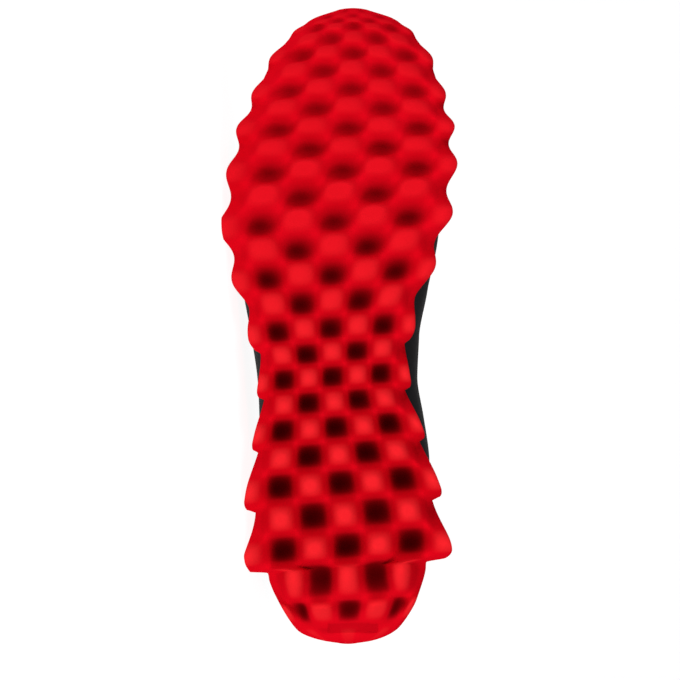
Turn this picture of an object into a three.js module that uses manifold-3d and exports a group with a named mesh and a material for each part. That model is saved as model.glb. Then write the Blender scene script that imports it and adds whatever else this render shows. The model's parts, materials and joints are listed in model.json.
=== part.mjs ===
// Low sneaker for a right foot: a black cloth upper on a thick red rubber sole whose tread is an egg-crate
// of lobes and pits. It is empty and lies on its outer side, as it would on a floor.
// Every form is worked out standing, in millimetres: X to the outer side, Y from heel to toe, Z up from the
// ground. The whole shoe is then laid down, with its tread facing -Y and its toe towards -X.
import * as THREE from "three";
import { mergeVertices } from "three/addons/utils/BufferGeometryUtils.js";
import Module from "manifold-3d";

const wasm = await Module();
wasm.setup();

// Driving dimensions
const soleLength = 302; // back of the heel to the tip of the toe
const ballWidth = 106; // tread across the ball, midway between its lobes and notches
const lobeDepth = 17; // a heel lobe, from its tip to the floor of the pits
const heelStack = 38; // ground to footbed at the heel
const collarHeight = 108; // ground to the top of the collar at the heel
const rimWall = 3; // rubber rim around the foot of the upper
const upperWall = 2.2; // cloth with its lining
const collarPad = 3.6; // foam that thickens the collar
const facingStep = 0.8; // the eyestay stands out of the upper by this
const insoleThickness = 4.5;
const tongueThickness = 3.6;
const eyeletPairs = 5;
const eyeletBore = 1.9; // radius
const eyeletWall = 0.7;
const eyeletFlange = 1.5; // the flange reaches this far past the barrel
const flangeThickness = 0.7;
const laceWidth = 6.5;
const laceThickness = 1.5;
const press = 0.7; // how far the lying shoe flattens where it meets the floor
const gap = 0.35; // clearance between neighbouring pieces
const footGap = 0.5; // the same, between the upper's foot and the rim, whose curves are cut at different places

// The tread's lattice: lobes stand where row + column is odd, and pits lie between them. Column -3 is the
// inner edge and column 3 the outer one. Rows are counted from heel to toe.
const edgeColumn = 3;
const heelRow = -1.3;
const toeRow = 27.5;
const plateau = 0.22; // half a lobe's flat top, in rows or columns
const rowSlope = 0.07; // rows run towards the toe on the inner side
const levelRows = { from: 12, to: 20 }; // past the ball the rows turn square to the shoe
const toothBack = 0.3; // a heel tooth's back edge stands this far past an odd row
const toothStep = 0.08; // rows between the notch behind a tooth and its back edge
const tipRound = 0.3; // rows over which a tooth's tip is rounded
const edgeRound = 1.6; // how far the tread turns up at its very edge
const backLean = 4.5; // the last two rows of lobes lean towards the heel by this

// Plan of the sole. along: share of soleLength; the rest: shares of ballWidth. bulge is how far the edge
// swings out at a lobe and in at a notch, and bow how far the ends of a row lie behind its middle.
const PLAN = [
  { row: -1.3, along: 0.0, outer: 0.045, inner: 0.075, rimOuter: 0.045, rimInner: 0.075, bulge: 0.0, bow: -0.008 },
  { row: -1.0, along: 0.003, outer: 0.093, inner: 0.126, rimOuter: 0.093, rimInner: 0.126, bulge: 0.0, bow: -0.008 },
  { row: -0.5, along: 0.022, outer: 0.202, inner: 0.236, rimOuter: 0.202, rimInner: 0.236, bulge: 0.0, bow: 0.0 },
  { row: 0.0, along: 0.064, outer: 0.279, inner: 0.32, rimOuter: 0.279, rimInner: 0.32, bulge: 0.0, bow: 0.0 },
  { row: 1.0, along: 0.107, outer: 0.334, inner: 0.362, rimOuter: 0.332, rimInner: 0.359, bulge: 0.0, bow: 0.0 },
  { row: 1.3, along: 0.121, outer: 0.345, inner: 0.368, rimOuter: 0.342, rimInner: 0.363, bulge: 0.003, bow: 0.0 },
  { row: 1.4, along: 0.125, outer: 0.408, inner: 0.43, rimOuter: 0.347, rimInner: 0.364, bulge: 0.04, bow: 0.0 },
  { row: 2.0, along: 0.152, outer: 0.418, inner: 0.442, rimOuter: 0.354, rimInner: 0.363, bulge: 0.04, bow: 0.0 },
  { row: 4.0, along: 0.252, outer: 0.424, inner: 0.399, rimOuter: 0.349, rimInner: 0.34, bulge: 0.02, bow: 0.0 },
  { row: 6.0, along: 0.341, outer: 0.389, inner: 0.327, rimOuter: 0.332, rimInner: 0.288, bulge: 0.016, bow: 0.0 },
  { row: 8.0, along: 0.42, outer: 0.372, inner: 0.277, rimOuter: 0.34, rimInner: 0.241, bulge: 0.017, bow: 0.0 },
  { row: 10.0, along: 0.496, outer: 0.413, inner: 0.298, rimOuter: 0.373, rimInner: 0.26, bulge: 0.019, bow: 0.0 },
  { row: 12.0, along: 0.581, outer: 0.479, inner: 0.382, rimOuter: 0.429, rimInner: 0.34, bulge: 0.021, bow: 0.0 },
  { row: 14.0, along: 0.665, outer: 0.538, inner: 0.458, rimOuter: 0.485, rimInner: 0.42, bulge: 0.023, bow: 0.0 },
  { row: 16.0, along: 0.747, outer: 0.507, inner: 0.484, rimOuter: 0.481, rimInner: 0.453, bulge: 0.018, bow: 0.0 },
  { row: 18.0, along: 0.814, outer: 0.464, inner: 0.474, rimOuter: 0.448, rimInner: 0.453, bulge: 0.016, bow: 0.01 },
  { row: 20.0, along: 0.874, outer: 0.396, inner: 0.436, rimOuter: 0.39, rimInner: 0.428, bulge: 0.014, bow: 0.025 },
  { row: 22.0, along: 0.93, outer: 0.318, inner: 0.38, rimOuter: 0.314, rimInner: 0.376, bulge: 0.01, bow: 0.023 },
  { row: 24.0, along: 0.971, outer: 0.212, inner: 0.29, rimOuter: 0.212, rimInner: 0.29, bulge: 0.006, bow: 0.018 },
  { row: 26.0, along: 0.988, outer: 0.134, inner: 0.214, rimOuter: 0.134, rimInner: 0.214, bulge: 0.0, bow: 0.012 },
  { row: 27.5, along: 1.0, outer: 0.028, inner: 0.104, rimOuter: 0.028, rimInner: 0.104, bulge: 0.0, bow: 0.008 },
];

// Heights of the sole above the ground. floor (of the pits), lobe (tip to floor) and curl (how far the floor
// rises at the edge) are shares of lobeDepth; bed (footbed) and rim are shares of heelStack.
const HEIGHTS = [
  { row: -1.3, floor: 2.3, lobe: 0.0, curl: 0.0, bed: 1.0, rim: 1.39 },
  { row: -1.0, floor: 1.85, lobe: 0.0, curl: 0.05, bed: 1.0, rim: 1.39 },
  { row: -0.6, floor: 1.58, lobe: 0.0, curl: 0.25, bed: 1.0, rim: 1.385 },
  { row: -0.35, floor: 1.46, lobe: 0.1, curl: 0.28, bed: 1.0, rim: 1.383 },
  { row: 0.0, floor: 1.34, lobe: 0.66, curl: 0.3, bed: 1.0, rim: 1.38 },
  { row: 1.0, floor: 1.22, lobe: 1.06, curl: 0.2, bed: 1.0, rim: 1.35 },
  { row: 2.0, floor: 1.18, lobe: 1.24, curl: 0.05, bed: 1.0, rim: 1.3 },
  { row: 4.0, floor: 1.15, lobe: 1.21, curl: 0.04, bed: 0.97, rim: 1.22 },
  { row: 6.0, floor: 1.08, lobe: 1.11, curl: 0.04, bed: 0.91, rim: 1.16 },
  { row: 8.0, floor: 1.0, lobe: 0.9, curl: 0.04, bed: 0.83, rim: 1.09 },
  { row: 10.0, floor: 0.9, lobe: 0.8, curl: 0.04, bed: 0.75, rim: 1.01 },
  { row: 12.0, floor: 0.76, lobe: 0.72, curl: 0.04, bed: 0.685, rim: 0.95 },
  { row: 14.0, floor: 0.66, lobe: 0.71, curl: 0.04, bed: 0.645, rim: 0.905 },
  { row: 16.0, floor: 0.6, lobe: 0.65, curl: 0.04, bed: 0.63, rim: 0.895 },
  { row: 18.0, floor: 0.6, lobe: 0.52, curl: 0.08, bed: 0.645, rim: 0.92 },
  { row: 20.0, floor: 0.7, lobe: 0.43, curl: 0.2, bed: 0.685, rim: 0.975 },
  { row: 22.0, floor: 0.93, lobe: 0.33, curl: 0.35, bed: 0.76, rim: 1.05 },
  { row: 24.0, floor: 1.3, lobe: 0.2, curl: 0.36, bed: 0.84, rim: 1.13 },
  { row: 26.0, floor: 1.6, lobe: 0.06, curl: 0.25, bed: 0.9, rim: 1.18 },
  { row: 27.5, floor: 2.1, lobe: 0.0, curl: 0.0, bed: 0.92, rim: 1.21 },
];

// The upper's opening, throat and collar in one loop. at: share of the way round from the toe (0) to the back
// of the heel (1), on either side. along: share of soleLength; middle and out: where the edge lies across, as
// shares of ballWidth; up: share of collarHeight. swellOuter and swellInner: how far the wall swells out
// above the rim, and lift: for what share of its rise it keeps swelling. reach and drop: how far out and down
// the wall heads as it leaves the edge. The first and the last row mirror their neighbours, so that the edge
// runs square across the middle at both ends.
const OPENING = [
  { at: -0.06, along: 0.682, middle: 0.004, out: -0.05, up: 0.692, swellOuter: 0.016, swellInner: 0.016, lift: 0.8, reach: 0.56, drop: 0.045 },
  { at: 0.0, along: 0.69, middle: 0.0, out: 0.0, up: 0.69, swellOuter: 0.014, swellInner: 0.014, lift: 0.82, reach: 0.62, drop: 0.045 },
  { at: 0.06, along: 0.682, middle: 0.004, out: 0.05, up: 0.692, swellOuter: 0.016, swellInner: 0.016, lift: 0.8, reach: 0.56, drop: 0.045 },
  { at: 0.16, along: 0.645, middle: 0.01, out: 0.095, up: 0.715, swellOuter: 0.022, swellInner: 0.022, lift: 0.68, reach: 0.4, drop: 0.045 },
  { at: 0.28, along: 0.58, middle: 0.016, out: 0.115, up: 0.78, swellOuter: 0.045, swellInner: 0.055, lift: 0.52, reach: 0.25, drop: 0.06 },
  { at: 0.42, along: 0.5, middle: 0.02, out: 0.14, up: 0.87, swellOuter: 0.12, swellInner: 0.13, lift: 0.42, reach: 0.2, drop: 0.065 },
  { at: 0.55, along: 0.42, middle: 0.02, out: 0.175, up: 0.965, swellOuter: 0.13, swellInner: 0.165, lift: 0.4, reach: 0.16, drop: 0.075 },
  { at: 0.62, along: 0.368, middle: 0.016, out: 0.235, up: 0.955, swellOuter: 0.125, swellInner: 0.155, lift: 0.4, reach: 0.1, drop: 0.1 },
  { at: 0.7, along: 0.295, middle: 0.01, out: 0.287, up: 0.87, swellOuter: 0.11, swellInner: 0.13, lift: 0.4, reach: 0.06, drop: 0.12 },
  { at: 0.78, along: 0.215, middle: 0.0, out: 0.3, up: 0.835, swellOuter: 0.065, swellInner: 0.08, lift: 0.4, reach: 0.045, drop: 0.13 },
  { at: 0.86, along: 0.135, middle: -0.008, out: 0.276, up: 0.88, swellOuter: 0.03, swellInner: 0.035, lift: 0.4, reach: 0.04, drop: 0.14 },
  { at: 0.94, along: 0.062, middle: -0.012, out: 0.172, up: 0.97, swellOuter: 0.022, swellInner: 0.022, lift: 0.4, reach: 0.035, drop: 0.15 },
  { at: 1.0, along: 0.036, middle: -0.012, out: 0.0, up: 1.0, swellOuter: 0.02, swellInner: 0.02, lift: 0.4, reach: 0.03, drop: 0.16 },
  { at: 1.06, along: 0.062, middle: -0.012, out: -0.172, up: 0.97, swellOuter: 0.022, swellInner: 0.022, lift: 0.4, reach: 0.035, drop: 0.15 },
];
const throatTop = 0.55; // the share of the way round where the throat ends and the collar begins
const facingEdge = 0.8; // the eyestay covers the wall from this share of its height to the edge

// Shaping helpers
const mix = (a, b, t) => a + (b - a) * t;
const clamp = (v, low, high) => Math.min(high, Math.max(low, v));

function ease(low, high, v) {
  const t = clamp((v - low) / (high - low), 0, 1);
  return t * t * (3 - 2 * t);
}

// Smooth curve through one column of a table that never swings past its values.
function track(table, key, column, at) {
  const last = table.length - 1;
  const slope = (k) => (table[k + 1][column] - table[k][column]) / (table[k + 1][key] - table[k][key]);
  const tangent = (k) => {
    if (k === 0) return slope(0);
    if (k === last) return slope(last - 1);
    const before = slope(k - 1);
    const after = slope(k);
    return before * after > 0 ? (2 * before * after) / (before + after) : 0;
  };
  let k = 0;
  while (k < last - 1 && at > table[k + 1][key]) k += 1;
  const span = table[k + 1][key] - table[k][key];
  const t = clamp((at - table[k][key]) / span, 0, 1);
  const from = table[k][column];
  const to = table[k + 1][column];
  return (
    from * (1 + 2 * t) * (1 - t) ** 2 +
    to * t * t * (3 - 2 * t) +
    span * (tangent(k) * t * (1 - t) ** 2 - tangent(k + 1) * t * t * (1 - t))
  );
}

const plan = (column, row) => track(PLAN, "row", column, row);
const height = (column, row) => track(HEIGHTS, "row", column, row);
const bedHeight = (row) => heelStack * height("bed", row);
const rimHeight = (row) => heelStack * height("rim", row);

// Surface building: a skin collects points and triangles, and becomes one closed mesh
class Skin {
  points = [];
  faces = [];

  row(points) {
    return points.map((p) => this.points.push(p) - 1);
  }

  strip(a, b) {
    for (let k = 0; k + 1 < a.length; k += 1) {
      this.faces.push([a[k], b[k], b[k + 1]], [a[k], b[k + 1], a[k + 1]]);
    }
  }

  band(a, b) {
    this.strip([...a, a[0]], [...b, b[0]]);
  }

  fan(centre, chain) {
    for (let k = 0; k + 1 < chain.length; k += 1) this.faces.push([centre, chain[k], chain[k + 1]]);
  }

  solid() {
    const geometry = new THREE.BufferGeometry();
    const positions = this.points.flatMap((p) => [p.x, p.y, p.z]);
    geometry.setAttribute("position", new THREE.Float32BufferAttribute(positions, 3));
    geometry.setIndex(this.faces.flat());
    return toSolid(geometry);
  }
}

function toSolid(geometry) {
  const bare = geometry.clone();
  bare.deleteAttribute("normal");
  bare.deleteAttribute("uv");
  const merged = mergeVertices(bare, 1e-4);
  return new wasm.Manifold(
    new wasm.Mesh({
      numProp: 3,
      vertProperties: merged.attributes.position.array,
      triVerts: new Uint32Array(merged.index.array),
    }),
  );
}

function toGeometry(solid) {
  const { vertProperties, triVerts } = solid.getMesh();
  const geometry = new THREE.BufferGeometry();
  geometry.setAttribute("position", new THREE.BufferAttribute(new Float32Array(vertProperties), 3));
  geometry.setIndex(new THREE.BufferAttribute(new Uint32Array(triVerts), 1));
  return geometry;
}

// Sole
const heelSkew = (row) => 1 - ease(8, 12, row); // heel teeth are raked, and the ball's bumps are even

// Swing of the tread's edge, from 1 at the tip of a lobe to -1 in a notch. Raked teeth run out slowly from
// the toe side, turn round a blunt tip and step back in to the next notch.
function edgeSwing(row) {
  const skew = heelSkew(row);
  const notch = 1 - toothBack * skew;
  const from = 2 * Math.floor((row + notch) / 2) - notch;
  const peak = from + 1 - (1 - toothStep - tipRound) * skew;
  if (row >= peak) return Math.cos((Math.PI * (row - peak)) / (from + 2 - peak));
  const run = (row - from) / (peak - from);
  const back = toothStep / (toothStep + tipRound);
  const blunt = run < back ? run / back - 1 : Math.sqrt(1 - ((1 - run) / (1 - back)) ** 2);
  return mix(-Math.cos(Math.PI * run), blunt, skew);
}

// 1 on a lobe's top and 0 on a pit's floor. The heel's lobes have flat tops and steep sides, and the ball's
// are dunes with hollows between them.
function lobeShare(column, row) {
  const swing = -Math.cos(Math.PI * column) * Math.cos(Math.PI * row);
  const flat = Math.cos(Math.PI * plateau) ** 2;
  const block = (1 + clamp(swing / flat, -1, 1)) / 2;
  const dune = 1 - ((1 - Math.min(1, swing / flat)) / (1 + 1 / flat)) ** 1.25;
  return mix(block, dune, ease(8, 13, row));
}

function edgeY(x, column, row) {
  const slope = rowSlope * ease(heelRow, 0.6, row) * (1 - ease(levelRows.from, levelRows.to, row));
  return soleLength * plan("along", row) - slope * x - ballWidth * plan("bow", row) * (column / edgeColumn) ** 2;
}

function treadPoint(column, row) {
  const outer = ballWidth * plan("outer", row);
  const inner = ballWidth * plan("inner", row);
  const reach = Math.abs(column) / edgeColumn;
  const swing = ballWidth * plan("bulge", row) * edgeSwing(row) * clamp((reach - 0.8) / 0.2, 0, 1) ** 1.5;
  const x = mix(-inner, outer, (column / edgeColumn + 1) / 2) + Math.sign(column) * swing;
  const share = lobeShare(column, row);
  const floor = lobeDepth * (height("floor", row) + height("curl", row) * reach ** 3);
  const turn = edgeRound * clamp((reach - 0.93) / 0.07, 0, 1) ** 2;
  const z = Math.max(0, floor - lobeDepth * height("lobe", row) * share) + turn;
  const lean = backLean * ease(-0.8, -0.1, row) * (1 - ease(0.8, 1.8, row)) * (1 - ease(0.75, 0.95, reach));
  return new THREE.Vector3(x, edgeY(x, column, row) - lean * share, z);
}

// The sole's side between the tread (rise 0) and the top of the rim (rise 1).
function wallPoint(column, row, rise) {
  const tread = treadPoint(column, row);
  const outer = ballWidth * plan("rimOuter", row);
  const inner = ballWidth * plan("rimInner", row);
  const x = mix(-inner, outer, (column / edgeColumn + 1) / 2);
  const rim = new THREE.Vector3(x, edgeY(x, column, row), rimHeight(row));
  const point = tread.clone().lerp(rim, rise ** 1.25);
  point.z = mix(tread.z, rim.z, rise);
  return point;
}

// Samples of the lattice: both edges of each flat top, and halfway to the next.
function latticeSteps(low, high) {
  const steps = [];
  for (let k = low; k <= high; k += 1) steps.push(k - plateau, k + plateau, k + 0.5);
  return steps;
}

// The same across the heel's teeth, with each tooth's notch and tip in place of the steps beside them.
function toothSteps(low, high) {
  const steps = [];
  for (let k = low; k < high; k += 2) {
    steps.push(k - plateau, k + toothBack, k + toothBack + toothStep);
    steps.push(...latticeSteps(k + 1, k + 1));
  }
  return steps;
}
const columnSteps = [-edgeColumn, ...latticeSteps(-edgeColumn, edgeColumn).slice(1, -3), edgeColumn - plateau, edgeColumn];
const toeSteps = [22.6, 23.2, 23.8, 24.6, 25.6, 26.7];
const lastTooth = 8;
const lastLobe = 21;
const lobeSteps = [...latticeSteps(0, 0), ...toothSteps(1, lastTooth), ...latticeSteps(lastTooth + 1, lastLobe)];
const rowSteps = [heelRow, -1, -0.6, ...lobeSteps, 22, ...toeSteps, toeRow];

// The loop round the lattice, up the inner side, across the toe and back down the outer side.
function latticeLoop(columns, rows) {
  const across = columns.slice(1, -1);
  return [
    ...rows.map((row) => [-edgeColumn, row]),
    ...across.map((column) => [column, toeRow]),
    ...rows.toReversed().map((row) => [edgeColumn, row]),
    ...across.toReversed().map((column) => [column, heelRow]),
  ];
}

// Points moved inwards in plan, square to the loop that they lie on.
function insetLoop(points, distance) {
  return points.map((p, k) => {
    const before = points.at(k - 1);
    const after = points[(k + 1) % points.length];
    const length = Math.hypot(after.x - before.x, after.y - before.y);
    const x = p.x + (distance * (after.y - before.y)) / length;
    return new THREE.Vector3(x, p.y - (distance * (after.x - before.x)) / length, p.z);
  });
}

function makeSole() {
  const skin = new Skin();
  const grid = rowSteps.map((row) => skin.row(columnSteps.map((column) => treadPoint(column, row))));
  grid.slice(1).forEach((row, k) => skin.strip(grid[k], row));
  const loop = latticeLoop(columnSteps, rowSteps);
  const last = columnSteps.length - 1;
  let lower = [
    ...grid.map((row) => row[0]),
    ...grid.at(-1).slice(1, last),
    ...grid.toReversed().map((row) => row[last]),
    ...grid[0].slice(1, last).toReversed(),
  ];
  const wall = [0.1, 0.5, 1].map((rise) => loop.map(([column, row]) => wallPoint(column, row, rise)));
  const brim = insetLoop(wall.at(-1), rimWall);
  const bed = brim.map((p, k) => new THREE.Vector3(p.x, p.y, bedHeight(loop[k][1])));
  for (const points of [...wall, brim, bed]) {
    const upper = skin.row(points);
    skin.band(lower, upper);
    lower = upper;
  }
  const rows = rowSteps.length;
  const across = columnSteps.length - 2;
  const innerSide = lower.slice(0, rows);
  const toe = lower.slice(rows, rows + across);
  const outerSide = lower.slice(rows + across, 2 * rows + across).toReversed();
  const heel = lower.slice(2 * rows + across).toReversed();
  skin.strip(innerSide, outerSide);
  skin.fan(innerSide.at(-1), [outerSide.at(-1), ...toe.toReversed()]);
  skin.fan(innerSide[0], [...heel, outerSide[0]]);
  return skin.solid();
}

// The cup that the rim leaves, as two plan curves from the toe's middle to the heel's middle, each point with
// its outward direction and its place on the lattice.
function cupSide(side) {
  const half = columnSteps.filter((column) => column > 0 && column < edgeColumn);
  const places = [
    ...[0, ...half].map((column) => [side * column, toeRow]),
    ...rowSteps.toReversed().map((row) => [side * edgeColumn, row]),
    ...[...half.toReversed(), 0].map((column) => [side * column, heelRow]),
  ];
  const rim = places.map(([column, row]) => wallPoint(column, row, 1));
  let length = 0;
  return rim.map((p, k) => {
    const before = rim[Math.max(0, k - 1)];
    const after = rim[Math.min(rim.length - 1, k + 1)];
    const out = new THREE.Vector3(side * (before.y - after.y), side * (after.x - before.x), 0).normalize();
    if (k > 0) length += p.distanceTo(rim[k - 1]);
    return { row: places[k][1], length, out, point: p.clone().addScaledVector(out, -rimWall) };
  });
}
const cup = { outer: cupSide(1), inner: cupSide(-1) };

// A place on the cup's wall: turn runs from -1 at the heel, up the inner side to 0 at the toe, and down the
// outer side to 1 at the heel again.
function cupPlace(turn) {
  const side = turn < 0 ? cup.inner : cup.outer;
  const length = Math.min(1, Math.abs(turn)) * side.at(-1).length;
  let k = 1;
  while (k < side.length - 1 && side[k].length < length) k += 1;
  const [from, to] = [side[k - 1], side[k]];
  const t = (length - from.length) / (to.length - from.length);
  return {
    row: mix(from.row, to.row, t),
    point: from.point.clone().lerp(to.point, t),
    out: from.out.clone().lerp(to.out, t).normalize(),
  };
}

// Upper: its outer face at a turn round the shoe. climb runs from -1 at the footbed to 0 at the top of the
// rim and 1 at the opening's edge.
function upperFace(turn, climb) {
  const at = Math.min(1, Math.abs(turn));
  const opening = (column) => track(OPENING, "at", column, at);
  const { row, point, out } = cupPlace(turn);
  const foot = point.clone().addScaledVector(out, -footGap);
  if (climb <= 0) {
    return foot.setZ(mix(rimHeight(row), bedHeight(row) + gap, -climb));
  }
  foot.z = rimHeight(row);
  const side = Math.sign(turn);
  const edge = new THREE.Vector3(
    ballWidth * (opening("middle") + side * opening("out")),
    soleLength * opening("along"),
    collarHeight * opening("up"),
  );
  const swell = ballWidth * opening(side < 0 ? "swellInner" : "swellOuter");
  const low = foot.clone().addScaledVector(out, 1.33 * swell);
  low.z += opening("lift") * (edge.z - foot.z);
  const high = edge.clone().addScaledVector(out, ballWidth * opening("reach"));
  high.z -= collarHeight * opening("drop");
  return new THREE.CubicBezierCurve3(foot, low, high, edge).getPoint(climb);
}

function upperNormal(turn, climb) {
  const step = 0.004;
  const rise = Math.min(climb, 1 - step);
  const round = upperFace(turn + step, rise).sub(upperFace(turn - step, rise));
  const up = upperFace(turn, rise + step).sub(upperFace(turn, rise - (rise < 0 ? 0 : step)));
  return up.cross(round).normalize();
}

const facingShare = (turn, climb) => (climb > facingEdge && Math.abs(turn) < throatTop + 0.03 ? 1 : 0);

function upperOuter(turn, climb) {
  return upperFace(turn, climb).addScaledVector(upperNormal(turn, climb), facingStep * facingShare(turn, climb));
}

// The inner face lies one wall in, and further in where the collar is padded.
function upperInner(turn, climb, extra = 0) {
  const collar = ease(throatTop + 0.05, throatTop + 0.16, Math.abs(turn));
  const pad = collarPad * collar * ease(0.55, 0.82, climb) * (1 - 0.6 * ease(0.9, 1, climb));
  const face = upperFace(turn, climb);
  const inner = face.clone().addScaledVector(upperNormal(turn, climb), -(upperWall + pad + extra));
  return climb <= 0 ? inner.setZ(face.z) : inner;
}

const turnSteps = [0.03, 0.06, 0.1, 0.15, 0.2, 0.25, 0.3, 0.35, 0.4, 0.45, 0.5, 0.545, 0.585, 0.63, 0.67];
const heelSteps = [0.71, 0.75, 0.79, 0.83, 0.865, 0.9, 0.93, 0.96, 0.98];
const sideSteps = [...turnSteps, ...heelSteps];
const turns = [0, ...sideSteps, 1, ...sideSteps.toReversed().map((turn) => -turn)].toReversed();
const climbs = [-1, 0, 0.1, 0.22, 0.34, 0.46, 0.58, 0.69, facingEdge, facingEdge + 0.015, 0.9, 1];

const eyelets = Array.from({ length: eyeletPairs }, (_, k) => ({
  number: k + 1,
  turn: mix(0.14, throatTop - 0.035, k / (eyeletPairs - 1)),
}));
const eyeletClimb = 0.905;
const eyeletBarrel = eyeletBore + eyeletWall;
const flangeFoot = 0.5; // the flange is flat, and the eyestay under it is not

// Where an eyelet sits on the eyestay, with the direction it faces.
function eyeletSeat(turn) {
  return { point: upperOuter(turn, eyeletClimb), out: upperNormal(turn, eyeletClimb) };
}

function placed(geometry, point, out) {
  const turned = new THREE.Quaternion().setFromUnitVectors(new THREE.Vector3(0, 1, 0), out);
  const matrix = new THREE.Matrix4().compose(point, turned, new THREE.Vector3(1, 1, 1));
  return geometry.clone().applyMatrix4(matrix);
}

function makeUpper() {
  const skin = new Skin();
  const outer = climbs.map((climb) => skin.row(turns.map((turn) => upperOuter(turn, climb))));
  const inner = climbs.map((climb) => skin.row(turns.map((turn) => upperInner(turn, climb))));
  outer.slice(1).forEach((ring, k) => skin.band(ring, outer[k]));
  inner.slice(1).forEach((ring, k) => skin.band(inner[k], ring));
  skin.band(inner.at(-1), outer.at(-1));
  skin.band(outer[0], inner[0]);
  const drill = new THREE.CylinderGeometry(eyeletBarrel + gap, eyeletBarrel + gap, 14, 10);
  const holes = eyelets.flatMap(({ turn }) =>
    [turn, -turn].map((t) => {
      const { point, out } = eyeletSeat(t);
      return toSolid(placed(drill, point, out));
    }),
  );
  return skin.solid().subtract(wasm.Manifold.union(holes));
}

function eyeletGeometry() {
  const foot = -(upperWall + facingStep - 0.1);
  const profile = [
    [eyeletBore, foot],
    [eyeletBarrel, foot],
    [eyeletBarrel, flangeFoot],
    [eyeletBarrel + eyeletFlange, flangeFoot],
    [eyeletBarrel + eyeletFlange, flangeFoot + flangeThickness],
    [eyeletBore, flangeFoot + flangeThickness],
    [eyeletBore, foot],
  ];
  return new THREE.LatheGeometry(profile.map(([x, y]) => new THREE.Vector2(x, y)), 12);
}

// Insole: a sheet inside the foot of the upper, cupped a little across.
function makeInsole() {
  const skin = new Skin();
  const ring = turns.map((turn) => {
    const { row, out } = cupPlace(turn);
    const wall = upperInner(turn, -1).addScaledVector(out, -gap);
    return wall.setZ(bedHeight(row) + gap);
  });
  const side = turns.filter((turn) => turn > 0 && turn < 1).length;
  const lower = skin.row(ring);
  const upper = skin.row(ring.map((p) => new THREE.Vector3(p.x, p.y, p.z + insoleThickness)));
  skin.band(upper, lower);
  for (const [loop, lift] of [[upper, 1], [lower, -1]]) {
    const heel = loop[side];
    const rightSide = loop.slice(0, side).toReversed();
    const leftSide = loop.slice(side + 1, 2 * side + 1);
    const toe = loop[2 * side + 1];
    closeAcross(skin, [rightSide, leftSide], [heel, toe], lift);
  }
  return skin.solid();
}

// Closes a loop with a ladder between its two sides and a triangle at each end.
function closeAcross(skin, [a, b], [first, last], lift) {
  const [left, right] = lift > 0 ? [a, b] : [b, a];
  skin.strip(left, right);
  skin.faces.push([first, right[0], left[0]], [last, left.at(-1), right.at(-1)]);
}

// Tongue: its wings lie under the throat's edges, and it arches across the opening between them.
const tongueTurns = turnSteps.filter((turn) => turn < throatTop);
const wingClimb = 0.9;
const tongueCrown = 0.045; // rise of the arch, as a share of ballWidth

// The tongue's free end, past the last eyelets. along: share of soleLength; up: share of collarHeight; wide
// and deep: shares of its width and arch where it leaves the throat.
const TONGUE_END = [
  { along: 0.04, up: 0.045, wide: 0.8, deep: 1.0 },
  { along: 0.1, up: 0.19, wide: 0.74, deep: 0.75 },
  { along: 0.115, up: 0.225, wide: 0.5, deep: 0.6 },
];

function tongueSection(turn) {
  const wing = (t, climb) => upperInner(t, climb, footGap);
  const [left, right] = [wing(-turn, 1), wing(turn, 1)];
  const up = upperNormal(-turn, 1).add(upperNormal(turn, 1)).normalize();
  const crown = ballWidth * tongueCrown * ease(0, 0.2, turn);
  const arch = [0.2, 0.5, 0.8].map((t) =>
    left.clone().lerp(right, t).addScaledVector(up, crown * 4 * t * (1 - t)),
  );
  return { up, top: [wing(-turn, wingClimb), left, ...arch, right, wing(turn, wingClimb)] };
}

function makeTongue() {
  const sections = tongueTurns.map(tongueSection);
  const root = sections.at(-1);
  const middle = root.top[3];
  for (const { along, up, wide, deep } of TONGUE_END) {
    const centre = middle.clone().add(new THREE.Vector3(0, -soleLength * along, collarHeight * up));
    const top = root.top.map((p) => p.clone().sub(middle).multiply(new THREE.Vector3(wide, 1, deep)).add(centre));
    sections.push({ up: root.up, top });
  }
  const skin = new Skin();
  const top = sections.map(({ top }) => skin.row(top));
  const bottom = sections.map(({ up, top }) =>
    skin.row(top.map((p) => p.clone().addScaledVector(up, -tongueThickness))),
  );
  const last = top[0].length - 1;
  const rim = (rows) => [
    ...rows.map((row) => row[0]),
    ...rows.at(-1).slice(1, last),
    ...rows.toReversed().map((row) => row[last]),
    ...rows[0].slice(1, last).toReversed(),
  ];
  top.slice(1).forEach((row, k) => skin.strip(top[k], row));
  bottom.slice(1).forEach((row, k) => skin.strip(row, bottom[k]));
  skin.band(rim(top), rim(bottom));
  return skin.solid();
}

// Laces: flat strips that cross the tongue between the eyelets, joined where they meet.
const laceLift = flangeFoot + flangeThickness + gap + laceThickness / 2;
const laceArch = 0.062; // rise of a strip over the tongue, as a share of ballWidth

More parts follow.
